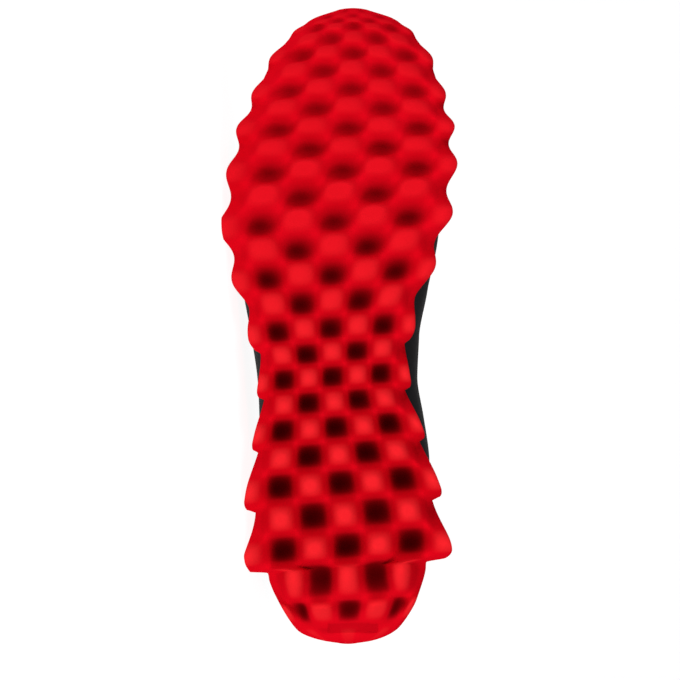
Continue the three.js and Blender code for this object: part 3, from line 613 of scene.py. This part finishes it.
def spread(tree, value, low, high, start=0.3, end=0.7):
    """A value between start and end, mapped to low and high."""
    ranged = node(tree, "ShaderNodeMapRange")
    ranged.inputs["From Min"].default_value = start
    ranged.inputs["From Max"].default_value = end
    ranged.inputs["To Min"].default_value = low
    ranged.inputs["To Max"].default_value = high
    tree.links.new(value, ranged.inputs["Value"])
    return ranged.outputs["Result"]


def blend_colours(tree, factor, first, second):
    mixer = node(tree, "ShaderNodeMix", data_type="RGBA")
    tree.links.new(factor, mixer.inputs["Factor"])
    for socket, colour in (("A", first), ("B", second)):
        target = [s for s in mixer.inputs if s.name == socket and s.type == "RGBA"][0]
        if isinstance(colour, tuple):
            target.default_value = (*colour, 1)
        else:
            tree.links.new(colour, target)
    return [s for s in mixer.outputs if s.type == "RGBA"][0]


def bump(tree, shader, height, strength, distance, under=None):
    made = node(tree, "ShaderNodeBump", Strength=strength, Distance=distance)
    tree.links.new(height, made.inputs["Height"])
    if under is not None:
        tree.links.new(under, made.inputs["Normal"])
    tree.links.new(made.outputs["Normal"], shader.inputs["Normal"])
    return made.outputs["Normal"]


def arithmetic(tree, operation, first, second):
    made = node(tree, "ShaderNodeMath", operation=operation)
    for socket, value in zip(made.inputs, (first, second)):
        if isinstance(value, (int, float)):
            socket.default_value = value
        else:
            tree.links.new(value, socket)
    return made.outputs[0]


def rubber_material():
    """Matte moulded rubber, deep red, with a painted highlight on the tops of the lobes and painted
    shade, near black, in the pits.
    """
    material, tree, shader = blank_material("red_rubber")
    shader.inputs["Specular IOR Level"].default_value = 0.0
    place = node(tree, "ShaderNodeTexCoord").outputs["Object"]
    # The attribute "top" is a painted highlight on the lobes, and "depth" is painted shade in the
    # pits
    top = node(tree, "ShaderNodeAttribute", attribute_name="top").outputs["Fac"]
    depth = node(tree, "ShaderNodeAttribute", attribute_name="depth").outputs["Fac"]
    patches = spread(tree, noise(tree, place, 55), 0, 1)
    surface = blend_colours(tree, patches, (0.53, 0.0012, 0.0068), (0.57, 0.0016, 0.0084))
    # lit is the rubber with the painted highlight, and colour has the painted shade over it as well
    lit = blend_colours(tree, top, surface, (0.64, 0.0115, 0.0165))
    colour = blend_colours(tree, depth, lit, (0.004, 0.0, 0.0))
    tree.links.new(colour, shader.inputs["Base Color"])
    rough = spread(tree, noise(tree, place, 140), 0.6, 0.75)
    tree.links.new(rough, shader.inputs["Roughness"])
    waves = bump(tree, shader, noise(tree, place, 90, 2), 0.25, 0.0006)
    bump(tree, shader, noise(tree, place, 2600, 3), 0.35, 0.00008, waves)
    return material


def wave(tree, value, turns):
    return arithmetic(tree, "SINE", arithmetic(tree, "MULTIPLY", value, turns), 0)


def cloth_material(name, dark, light, period, strength):
    """Woven or knitted cloth. Its threads follow the piece's own run, in mm on the uv map."""
    material, tree, shader = blank_material(name, Roughness=0.82)
    shader.inputs["Specular IOR Level"].default_value = 0.08
    shader.inputs["Sheen Weight"].default_value = 0.03
    shader.inputs["Sheen Roughness"].default_value = 0.45
    uv = node(tree, "ShaderNodeTexCoord").outputs["UV"]
    place = node(tree, "ShaderNodeTexCoord").outputs["Object"]
    parts = node(tree, "ShaderNodeSeparateXYZ")
    tree.links.new(uv, parts.inputs["Vector"])
    turns = 2 * math.pi / period
    warp = wave(tree, parts.outputs["X"], turns)
    weft = wave(tree, parts.outputs["Y"], turns * 1.2)
    threads = spread(tree, arithmetic(tree, "MULTIPLY", warp, weft), 0, 1, -1, 1)
    fuzz = arithmetic(tree, "MULTIPLY", noise(tree, place, 1800, 3), 0.4)
    mottled = arithmetic(tree, "ADD", arithmetic(tree, "MULTIPLY", threads, 0.6), fuzz)
    tree.links.new(blend_colours(tree, mottled, dark, light), shader.inputs["Base Color"])
    soft = bump(tree, shader, noise(tree, place, 70, 2), 0.2, 0.0006)
    bump(tree, shader, mottled, strength, 0.0002, soft)
    return material


def enamel_material():
    material, tree, shader = blank_material("black_enamel")
    shader.inputs["Base Color"].default_value = (0.012, 0.012, 0.014, 1)
    place = node(tree, "ShaderNodeTexCoord").outputs["Object"]
    tree.links.new(spread(tree, noise(tree, place, 900), 0.22, 0.4), shader.inputs["Roughness"])
    bump(tree, shader, noise(tree, place, 1500), 0.15, 0.00005)
    return material


def thread_material():
    material, tree, shader = blank_material("black_thread", Roughness=0.6)
    place = node(tree, "ShaderNodeTexCoord").outputs["Object"]
    tone = spread(tree, noise(tree, place, 2500), 0, 1)
    colour = blend_colours(tree, tone, (0.02, 0.02, 0.022), (0.05, 0.05, 0.055))
    tree.links.new(colour, shader.inputs["Base Color"])
    bump(tree, shader, noise(tree, place, 3500), 0.4, 0.0001)
    return material


RUBBER = rubber_material()
# Cloths: dark and light thread, the weave's period in mm and how strongly it stands out
KNIT = cloth_material("black_knit", (0.004, 0.004, 0.005), (0.013, 0.013, 0.015), 1.5, 0.5)
LINING = cloth_material("black_lining", (0.008, 0.008, 0.009), (0.024, 0.024, 0.026), 2.4, 0.6)
FOOTBED = cloth_material("black_footbed", (0.01, 0.01, 0.011), (0.03, 0.03, 0.032), 1.8, 0.5)
WEBBING = cloth_material("black_webbing", (0.006, 0.006, 0.007), (0.026, 0.026, 0.029), 1.1, 0.8)
ENAMEL = enamel_material()
THREAD = thread_material()


def dress(piece, node_names):
    """Puts a piece on the shoe's body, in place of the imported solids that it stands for."""
    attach(piece, "root")
    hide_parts(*node_names)


# A small plate near the back of the heel: a bare sunken panel, in mm, with painted shade over it.
PLATE_MIDDLE = (-4.2, 8.1)
PLATE_HALF = (11.8, 2.25)
PLATE_DEPTH = 0.8
PLATE_BEVEL = 0.25
PLATE_PAINTED_SHADE = 0.25


def plate_depth(points):
    inside = 1.0
    for k in (0, 1):
        off = np.abs(points[..., k] - PLATE_MIDDLE[k])
        inside = inside * (1 - ease(PLATE_HALF[k] - PLATE_BEVEL, PLATE_HALF[k] + PLATE_BEVEL, off))
    return PLATE_DEPTH * inside


# How the tread's mesh is divided: all across, again in a band along each edge, behind the heel's
# first row, all along, and closer where a heel tooth steps back in.
TREAD_COLUMNS = 97
BAND_START = 2.7
BAND_COLUMNS = 8
BACK_ROWS = 48
TREAD_ROWS = 386
TOOTH_ROWS = np.concatenate([np.linspace(k - 0.72, k - 0.3, 22) for k in (2, 4, 6, 8)])

# How far the heel's painted highlights and painted shade follow the squares of the lattice
BOXINESS = 0.6

# Rings round the sole's side, from the tread (0) to the rim (1), and over the rim's width
WALL_RISES = (0.03, 0.08, 0.15, 0.23, 0.31, 0.4, 0.5, 0.6, 0.7, 0.8, 0.88, 0.94, 0.975)
RIM_SHARES = (0.08, 0.3, 0.5, 0.7, 0.92)
RIM_CROWN = 0.45


def tread_lattice():
    """The columns and rows of the tread's mesh."""
    columns = [
        np.linspace(-EDGE_COLUMN, EDGE_COLUMN, TREAD_COLUMNS),
        np.linspace(-EDGE_COLUMN, -BAND_START, BAND_COLUMNS),
        np.linspace(BAND_START, EDGE_COLUMN, BAND_COLUMNS),
    ]
    rows = [np.linspace(HEEL_ROW, 0, BACK_ROWS), np.linspace(0, TOE_ROW, TREAD_ROWS), TOOTH_ROWS]
    return np.unique(np.concatenate(columns)), np.unique(np.concatenate(rows))


def painted_highlight_and_shade(column, row):
    """The painted highlight on the lobes' tops and the painted shade in the pits, each from 0 to 1.

    Both follow the depth of the tread, and at the heel the squares of the lattice too. The painted
    shade fades out towards the outermost pits, which are open to the side.
    """
    sunk = 1 - lobe_share(column, row)
    square = square_share(column, row)
    boxy = BOXINESS * (1 - ease(*BALL_ROWS, row))
    # top is the painted highlight, pit the painted shade
    top = mix(ease(0.4, 0.05, sunk), ease(0.3, 0.95, square), boxy)
    pit = mix(sunk**3.4, ease(0.22, 1.05, -square), boxy)
    pit = pit * (1 - ease(2.1, 2.75, np.abs(column)))
    return track(LEANS, "pale", row) * top, 1 - np.exp(-track(LEANS, "shade", row) * pit)


def make_sole():
    columns, rows = tread_lattice()
    points = tread_point(columns[None, :], rows[:, None])
    plate = plate_depth(points)
    points[..., 2] += plate
    # Colour tones, not relief: a painted highlight on the lobes' tops and painted shade in the pits
    pale, shade = painted_highlight_and_shade(columns[None, :], rows[:, None])
    # painted shade over the sunken plate
    shade = np.maximum(shade, PLATE_PAINTED_SHADE * plate / PLATE_DEPTH)
    skin = Skin()
    grid = skin.add(points)
    skin.quads(grid)
    edge = np.concatenate([grid[:, 0], grid[-1, 1:-1], grid[::-1, -1], grid[0, -2:0:-1]])
    column, row = lattice_loop(columns, rows)
    rings = [wall_point(column, row, rise) for rise in WALL_RISES]
    rim = wall_point(column, row, 1)
    for share in RIM_SHARES:
        crown = inset_loop(rim, RIM_WALL * share)
        crown[:, 2] += RIM_CROWN * math.sin(math.pi * share)
        rings.append(crown)
    brim = inset_loop(rim, RIM_WALL)
    bed = brim.copy()
    bed[:, 2] = bed_height(row)
    rings += [brim, bed]
    numbers = np.concatenate([edge[None], skin.add(np.stack(rings))])
    skin.quads(closed(numbers))
    footbed = numbers[-1]
    inner = footbed[: len(rows)]
    outer = footbed[len(rows) + len(columns) - 2 :][: len(rows)][::-1]
    skin.quads(np.stack([inner, outer]))
    # The painted shade goes on the mesh as the attribute "depth", and the painted highlight as "top"
    painted_light_layers = {}
    for name, tone in (("depth", shade), ("top", pale)):
        painted_light_layers[name] = np.zeros(skin.count, np.float32)
        painted_light_layers[name][: tone.size] = tone.reshape(-1)
    dress(skin.build("rubber_sole", [RUBBER], painted_light_layers), ["sole"])


# The upper's mesh all round, and its size in mm for the weave
UPPER_TURNS = 501
UPPER_PERIMETER = 640.0
UPPER_TALL = 95.0

# The holes under the eyelets: radius, and how far they reach either way
EYELET_HOLE = EYELET_BORE + 0.75
HOLE_REACH = 6.0


def off_the_holes(centres):
    """Which faces lie outside the holes that the eyelets fill."""
    keep = np.ones(len(centres), bool)
    for turn in (*EYELET_TURNS, *-EYELET_TURNS):
        point, out = eyelet_seat(turn)
        from_seat = centres - point
        height = from_seat @ out
        apart = np.linalg.norm(from_seat - height[:, None] * out, axis=1)
        keep &= ~((apart < EYELET_HOLE) & (np.abs(height) < HOLE_REACH))
    return keep


def make_upper():
    around = np.linspace(-1, 1, UPPER_TURNS)
    turn = around[:-1]
    outer_climb = np.concatenate([
        [-1, -0.6, -0.2],
        np.linspace(0, FACING_EDGE - 0.004, 52),
        np.linspace(FACING_EDGE, FACING_EDGE + 0.01, 5),
        np.linspace(FACING_EDGE + 0.018, 1, 19),
    ])
    inner_climb = np.concatenate([[-1, -0.3], np.linspace(0, 1, 44)])
    outer = upper_outer(*np.meshgrid(turn, outer_climb))
    inner = upper_inner(*np.meshgrid(turn, inner_climb))
    lip = []
    normal = upper_normal(turn, np.full(turn.shape, 1.0))
    for share in (0.2, 0.5, 0.8):
        roll = mix(outer[-1], inner[-1], share)
        back = np.cross(normal, unit(np.roll(outer[-1], -1, 0) - np.roll(outer[-1], 1, 0)))
        lip.append(roll - 0.7 * math.sin(math.pi * share) * back)
    skin = Skin()
    grids = []
    for points, climb, slot in ((outer, outer_climb, 0), (inner, inner_climb, 1)):
        uv = np.stack(np.meshgrid(around * UPPER_PERIMETER / 2, climb * UPPER_TALL), -1)
        grids.append(skin.add(points))
        skin.quads(closed(grids[-1]), uv, slot)
    outer_grid, inner_grid = grids
    edge = np.concatenate([outer_grid[-1:], skin.add(np.stack(lip)), inner_grid[-1:]])
    skin.quads(closed(edge))
    skin.quads(closed(np.stack([outer_grid[0], inner_grid[0]])))
    skin.drop(off_the_holes)
    dress(skin.build("cloth_upper", [KNIT, LINING]), ["upper"])


# The insole's hollow along its middle, and how far its edges are rounded down
INSOLE_DISH = 1.2
INSOLE_ROLL = 0.8


def make_insole():
    skin = Skin()
    share = np.linspace(0.004, 0.996, 150)
    across = np.linspace(-1, 1, 41)
    rings = {}
    for side in (1, -1):
        row, _, out = cup_place(side * share)
        wall = upper_inner(side * share, np.full(share.shape, -1.0)) - GAP * out
        wall[:, 2] = bed_height(row) + GAP
        rings[side] = wall
    low = mix(rings[-1][:, None, :], rings[1][:, None, :], (across[None, :, None] + 1) / 2)
    top = low.copy()
    dish = INSOLE_DISH * (1 - across**2)[None, :]
    roll = INSOLE_ROLL * np.abs(across[None, :]) ** 16
    top[..., 2] += INSOLE_THICKNESS - dish * ease(0.02, 0.2, share)[:, None] - roll
    uv = low[..., :2]
    upper_grid = skin.add(top)
    lower_grid = skin.add(low)
    skin.quads(upper_grid, uv)
    skin.quads(lower_grid, uv)
    for cut in (np.s_[0, :], np.s_[-1, :], np.s_[:, 0], np.s_[:, -1]):
        skin.quads(np.stack([upper_grid[cut], lower_grid[cut]]))
    dress(skin.build("foam_insole", [FOOTBED]), ["insole"])


# Tongue: wings under the eyestay, an arch between them, and a free end above the top eyelets
TONGUE_TURNS = np.array([0.03, 0.06, 0.1, 0.15, 0.2, 0.25, 0.3, 0.35, 0.4, 0.45, 0.5, 0.545])
TONGUE_CROWN = 0.045
TONGUE_ROWS = 110
TONGUE_COLUMNS = 49
WING_CLIMB = 0.9
LACE_ROOM = 1.3  # the wings lie this much lower than the source's, so the lace passes over them

# The tongue's free end: shares of SOLE_LENGTH (along), of COLLAR_HEIGHT (up), and of its width and
# arch at the top eyelets (wide, deep).
TONGUE_END = read_table("""
    along up    wide deep
    0.020 0.020 0.88 1.00
    0.040 0.045 0.80 1.00
    0.072 0.115 0.77 0.88
    0.100 0.190 0.74 0.75
    0.115 0.225 0.50 0.60
""")


def tongue_sections():
    tops = []
    ups = []
    for turn in TONGUE_TURNS:
        room = FOOT_GAP + LACE_ROOM * ease(0.03, 0.12, turn)
        wing = [upper_inner(np.array([s * turn]), np.array([c]), np.array([room]))[0]
                for s, c in ((-1, WING_CLIMB), (-1, 1.0), (1, 1.0), (1, WING_CLIMB))]
        up = unit(sum(upper_normal(np.array([s * turn]), np.array([1.0]))[0] for s in (-1, 1)))
        crown = (BALL_WIDTH * TONGUE_CROWN + LACE_ROOM) * ease(0, 0.2, turn)
        arch = [mix(wing[1], wing[2], t) + up * crown * 4 * t * (1 - t) for t in (0.2, 0.5, 0.8)]
        tops.append([wing[0], wing[1], *arch, wing[2], wing[3]])
        ups.append(up)
    root = np.array(tops[-1])
    middle = root[3]
    for along, rise, wide, deep in zip(*TONGUE_END.values()):
        centre = middle + np.array([0, -SOLE_LENGTH * along, COLLAR_HEIGHT * rise])
        tops.append((root - middle) * np.array([wide, 1, deep]) + centre)
        ups.append(ups[-1])
    return np.array(tops), np.array(ups)


def smooth_through(points, count):
    """A smooth curve through points along the first axis, resampled to count places."""
    n = len(points)
    at = np.linspace(0, n - 1, count)
    k = np.minimum(at.astype(int), n - 2)
    t = (at - k).reshape((-1,) + (1,) * (points.ndim - 1))
    tangent = np.gradient(points, axis=0)
    a, b = points[k], points[k + 1]
    return (a * (1 + 2 * t) * (1 - t) ** 2 + b * t * t * (3 - 2 * t)
            + tangent[k] * t * (1 - t) ** 2 - tangent[k + 1] * t * t * (1 - t))


def make_tongue():
    tops, ups = tongue_sections()
    top = smooth_through(tops, TONGUE_ROWS)
    top = np.swapaxes(smooth_through(np.swapaxes(top, 0, 1), TONGUE_COLUMNS), 0, 1)
    up = unit(smooth_through(ups, TONGUE_ROWS))[:, None, :]
    across = np.linspace(-1, 1, TONGUE_COLUMNS)
    along = np.linspace(-1, 1, TONGUE_ROWS)[:, None]
    rim = np.maximum(np.abs(across) ** 10, np.clip(along, 0, 1) ** 30)
    plump = 0.7 * (1 - across**2) * (1 - np.abs(along) ** 6)
    round_off = 1.1 * rim
    face = top + (plump - round_off)[..., None] * up
    back = top - (TONGUE_THICKNESS - round_off)[..., None] * up
    uv = np.stack(np.meshgrid(25 * across, lengths_along(top[:, TONGUE_COLUMNS // 2])), -1)
    skin = Skin()
    face_grid = skin.add(face)
    back_grid = skin.add(back)
    skin.quads(face_grid, uv, 0)
    skin.quads(back_grid, uv, 1)
    for cut in (np.s_[0, :], np.s_[-1, :], np.s_[:, 0], np.s_[:, -1]):
        skin.quads(np.stack([face_grid[cut], back_grid[cut]]))
    tongue = skin.build("padded_tongue", [KNIT, LINING])
    dress(tongue, ["tongue"])


def make_eyelets():
    """Ten enamelled rings: a barrel through the eyestay and a rolled flange on it."""
    foot = -(UPPER_WALL + FACING_STEP + 0.3)
    profile = np.array([  # radius, and height over the eyestay
        [EYELET_BORE, foot], [EYELET_BORE, 0.9], [EYELET_BORE + 0.25, 1.2],
        [EYELET_BORE + 0.75, 1.35], [3.3, 1.2], [3.8, 0.85], [EYELET_FLANGE_RADIUS, 0.45],
        [4.0, 0.1], [2.6, 0.05], [2.6, foot], [3.6, foot - 0.1], [3.6, foot - 0.4],
        [EYELET_BORE + 0.3, foot - 0.5],
    ])
    radius, height = profile[:, None, :1], profile[:, None, 1:]
    angle = np.linspace(0, 2 * np.pi, 29)[:-1, None]
    for number, turn in enumerate(EYELET_TURNS, 1):
        for side, name in ((1, "outer"), (-1, "inner")):
            point, out = eyelet_seat(side * turn)
            across = unit(np.cross(out, [0, 1, 0]))
            round_about = np.cos(angle) * across + np.sin(angle) * np.cross(out, across)
            skin = Skin()
            grid = skin.add(point + radius * round_about + height * out)
            skin.quads(closed(np.concatenate([grid, grid[:1]])))
            ring = skin.build(f"eyelet_ring_{name}_{number}", [ENAMEL])
            dress(ring, [f"eyelet_{name}_{number}"])


LACE_STEPS = 61
LACE_SIDES = 16
LACE_HIGH = 2.0  # height of a strip over the eyestay, beside its eyelet


def lace_strip(skin, centres, ups, widths):
    """A flat woven strip through centres, with its edges rounded."""
    centres = smooth_through(np.array(centres), LACE_STEPS)
    ups = unit(smooth_through(np.array(ups), LACE_STEPS))
    widths = smooth_through(np.array(widths, float)[:, None], LACE_STEPS)
    along = unit(np.gradient(centres, axis=0))
    across = unit(np.cross(along, ups))
    up = np.cross(across, along)
    angle = np.linspace(0, 2 * np.pi, LACE_SIDES + 1)
    cos, sin = np.cos(angle[:-1, None]), np.sin(angle[:-1, None])
    reach = np.sign(cos) * np.abs(cos) ** 0.35
    lift = np.sign(sin) * np.abs(sin) ** 0.8
    thick = LACE_THICKNESS / 2 * (1 + 0.8 * (1 - widths / LACE_WIDTH))
    ring = reach * (widths / 2 * across)[:, None] + lift * (thick * up)[:, None]
    grid = skin.add(centres[:, None] + ring)
    uv = np.meshgrid(angle * LACE_WIDTH / np.pi, lengths_along(centres))
    skin.quads(closed(grid), np.stack(uv, -1))
    half = LACE_SIDES // 2
    for end in (0, -1):
        skin.quads(np.stack([grid[end][:half], grid[end][half:][::-1]]))


def make_laces():
    """One lace: a bar at the toe end, then crossings that climb to the top eyelets.

    A crossing comes up through an eyelet, goes over the tongue and down under the other side of the
    eyestay. The last two go down through the top eyelets and end inside.
    """
    skin = Skin()
    tops, _ = tongue_sections()
    numbers = np.arange(len(tops))
    crown = {}
    for turn in EYELET_TURNS:
        k = np.interp(turn, TONGUE_TURNS, numbers[: len(TONGUE_TURNS)])
        crown[turn] = np.array([np.interp(k, numbers, line) for line in tops[:, 3].T])

    def run(start, end, last, level):
        """A strip from the eyelet at start to the one at end, level over the tongue's top."""
        a, out_a = eyelet_seat(start)
        b, out_b = eyelet_seat(end)
        middle = (crown[abs(start)] + crown[abs(end)]) / 2
        up = unit(eyelet_seat(abs(start))[1] * [0, 1, 1])
        toward = unit(b - a)
        route = [  # place, direction that the strip faces, and width
            (a - 3.0 * out_a, -toward, 3.0),
            (a + 0.6 * out_a, unit(out_a - toward), 3.2),
            (a + LACE_HIGH * out_a + 2.2 * toward, out_a, 4.6),
            (mix(a, middle, 0.55) + up * (LACE_HIGH + 1.2), unit(out_a + up), LACE_WIDTH),
            (middle + up * (1.6 + level), up, LACE_WIDTH),
        ]
        if last:
            route += [
                (mix(b, middle, 0.55) + up * (LACE_HIGH + 1.2), unit(out_b + up), LACE_WIDTH),
                (b + LACE_HIGH * out_b - 2.2 * toward, out_b, 4.6),
                (b + 0.6 * out_b, unit(out_b + toward), 3.2),
                (b - 3.0 * out_b, toward, 3.0),
            ]
        else:
            under = UPPER_WALL + FACING_STEP + 0.9
            edge = upper_outer(np.array([end]), np.array([1.0]))[0]
            route += [
                (edge - 0.4 * under * out_b - 3.5 * toward, unit(out_b + up), LACE_WIDTH),
                (edge - under * out_b + toward, out_b, 5.6),
                (b - under * out_b, out_b, 3.4),
            ]
        lace_strip(skin, *zip(*route))

    run(-EYELET_TURNS[0], EYELET_TURNS[0], True, 0.0)
    for k in range(EYELET_PAIRS - 1):
        here, there = EYELET_TURNS[k], EYELET_TURNS[k + 1]
        last = k == EYELET_PAIRS - 2
        run(here, -there, last, 0.0)
        run(-here, there, last, LACE_THICKNESS + 0.25)
    dress(skin.build("flat_laces", [WEBBING]), ["laces"])


# A stitch's rings: how far along it each lies, and its radius, in mm
STITCH = [(-1.15, 0.05), (-0.7, 0.3), (0.0, 0.34), (0.7, 0.3), (1.15, 0.05)]
SEAM_CLIMB = 0.86


def stitch_row(skin, turns, climb, lift, pitch=3.0):
    """A row of stitches along a line on the upper."""
    turns = np.linspace(*turns, 900)
    line = upper_outer(turns, climb)
    length = lengths_along(line)
    places = np.arange(pitch / 2, length[-1], pitch)

    def line_at(at):
        return np.stack([np.interp(at, length, line[:, k]) for k in range(3)], -1)

    turn = np.interp(places, length, turns)
    centre = upper_outer(turn, climb)
    up = upper_normal(turn, climb)
    ahead = unit(line_at(places + 0.5) - line_at(places - 0.5))
    across = np.cross(up, ahead)
    angle = np.linspace(0, 2 * np.pi, 7)[:-1, None, None]
    spoke = np.cos(angle) * across + np.sin(angle) * up
    rings = [centre + along * ahead + lift * up + radius * spoke for along, radius in STITCH]
    grid = skin.add(np.stack(rings))
    for k in range(len(places)):
        skin.quads(closed(grid[:, :, k]))


def make_stitches():
    """Two rows along the eyestay's edge, and one from its end round the heel on either side."""
    skin = Skin()
    for inset in (0.022, 0.045):
        stitch_row(skin, (-FACING_END, FACING_END), FACING_EDGE + inset, 0.1)
    for side in (1, -1):
        stitch_row(skin, (side * 0.6, side * 1.0), SEAM_CLIMB, 0.08, 3.4)
    stitches = skin.build("seam_stitches", [THREAD])
    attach(stitches, "root")


make_sole()
make_upper()
make_insole()
make_tongue()
make_eyelets()
make_laces()
make_stitches()


# Camera, square on to the tread and rolled so that the toe is up. The scale is that of the tread's
# plane, and lets the raised toe and heel end where the photograph has them.
MM_PER_PIXEL = 0.4705
FRAME_PIXELS = 680
VIEW_MIDDLE = (2.1, 144.4, 0)  # the point of the tread's plane at the middle of the frame
VIEW_DISTANCE = 4.0


def make_camera():
    data = bpy.data.cameras.new("photo_camera")
    data.sensor_fit = "HORIZONTAL"
    data.sensor_width = 36.0
    data.lens = data.sensor_width * VIEW_DISTANCE / (FRAME_PIXELS * MM_PER_PIXEL / 1000)
    data.clip_start = 0.1
    data.clip_end = 50
    camera = bpy.data.objects.new("photo_camera", data)
    bpy.context.scene.collection.objects.link(camera)
    right = -lay_direction([1, 0, 0])
    up = lay_direction([0, 1, 0])
    back = -lay_direction([0, 0, 1])
    place = Vector(lay(VIEW_MIDDLE)) + VIEW_DISTANCE * back
    camera.matrix_world = matrix_from(right, up, back, place)
    bpy.context.scene.camera = camera


def matrix_from(x, y, z, origin):
    matrix = Matrix.Identity(4)
    for k, axis in enumerate((x, y, z, origin)):
        for j in range(3):
            matrix[j][k] = axis[j]
    return matrix


make_camera()

STAGE_RADIUS = 6.0
STAGE_HEIGHT = 2.0
STAGE_COVE = 1.2
COVE_STEPS = 12
STAGE_SIDES = 96
FLOOR_COLOUR = (0.2, 0.2, 0.2, 1)
FLOOR_GLOW = 0.92
WORLD_GLOW = 0.1


def make_stage():
    """A pale floor that curves up into a wall, and glows evenly as a light table does."""
    material, _, shader = blank_material("pale_floor", Roughness=0.9)
    shader.inputs["Base Color"].default_value = FLOOR_COLOUR
    shader.inputs["Emission Color"].default_value = (1, 1, 1, 1)
    shader.inputs["Emission Strength"].default_value = FLOOR_GLOW
    profile = [(0.01, 0.0), (2.0, 0.0), (STAGE_RADIUS - STAGE_COVE, 0.0)]
    for k in range(1, COVE_STEPS + 1):
        angle = math.pi / 2 * k / COVE_STEPS
        radius = STAGE_RADIUS - STAGE_COVE * (1 - math.sin(angle))
        profile.append((radius, STAGE_COVE * (1 - math.cos(angle))))
    profile.append((STAGE_RADIUS, STAGE_HEIGHT))
    around = [2 * math.pi * k / STAGE_SIDES for k in range(STAGE_SIDES)]
    shell = bmesh.new()
    rings = []
    for radius, height in profile:
        places = [(radius * math.cos(a), radius * math.sin(a), height) for a in around]
        rings.append([shell.verts.new(place) for place in places])
    shell.faces.new(rings[0])
    for low, high in zip(rings, rings[1:]):
        for k in range(STAGE_SIDES):
            shell.faces.new((low[k - 1], low[k], high[k], high[k - 1]))
    bmesh.ops.recalc_face_normals(shell, faces=shell.faces)
    mesh = bpy.data.meshes.new("pale_floor")
    shell.to_mesh(mesh)
    shell.free()
    mesh.polygons.foreach_set("use_smooth", [True] * len(mesh.polygons))
    mesh.materials.append(material)
    floor = bpy.data.objects.new("pale_floor", mesh)
    bpy.context.scene.collection.objects.link(floor)


def area_light(name, target, offset, size, power):
    """A square soft light, at an offset in metres from what it points at."""
    data = bpy.data.lights.new(name, "AREA")
    data.shape = "SQUARE"
    data.size = size
    data.energy = power
    place = target + Vector(offset)
    light = bpy.data.objects.new(name, data)
    light.location = place
    light.rotation_euler = (target - place).to_track_quat("-Z", "Y").to_euler()
    bpy.context.scene.collection.objects.link(light)


def make_lights():
    middle = Vector(lay([0, 150, 40]))
    area_light("heel_side", middle, offset=(0.65, -0.7, 0.3), size=0.4, power=5.5)
    area_light("toe_side", middle, offset=(-0.9, -1.1, 0.45), size=0.6, power=9)
    area_light("top", middle, offset=(0.0, 0.2, 1.9), size=1.6, power=4)
    world = bpy.data.worlds.new("studio")
    world.use_nodes = True
    background = world.node_tree.nodes["Background"]
    background.inputs["Color"].default_value = (1, 1, 1, 1)
    background.inputs["Strength"].default_value = WORLD_GLOW
    bpy.context.scene.world = world


make_stage()
make_lights()
bpy.context.scene.view_settings.view_transform = "Standard"
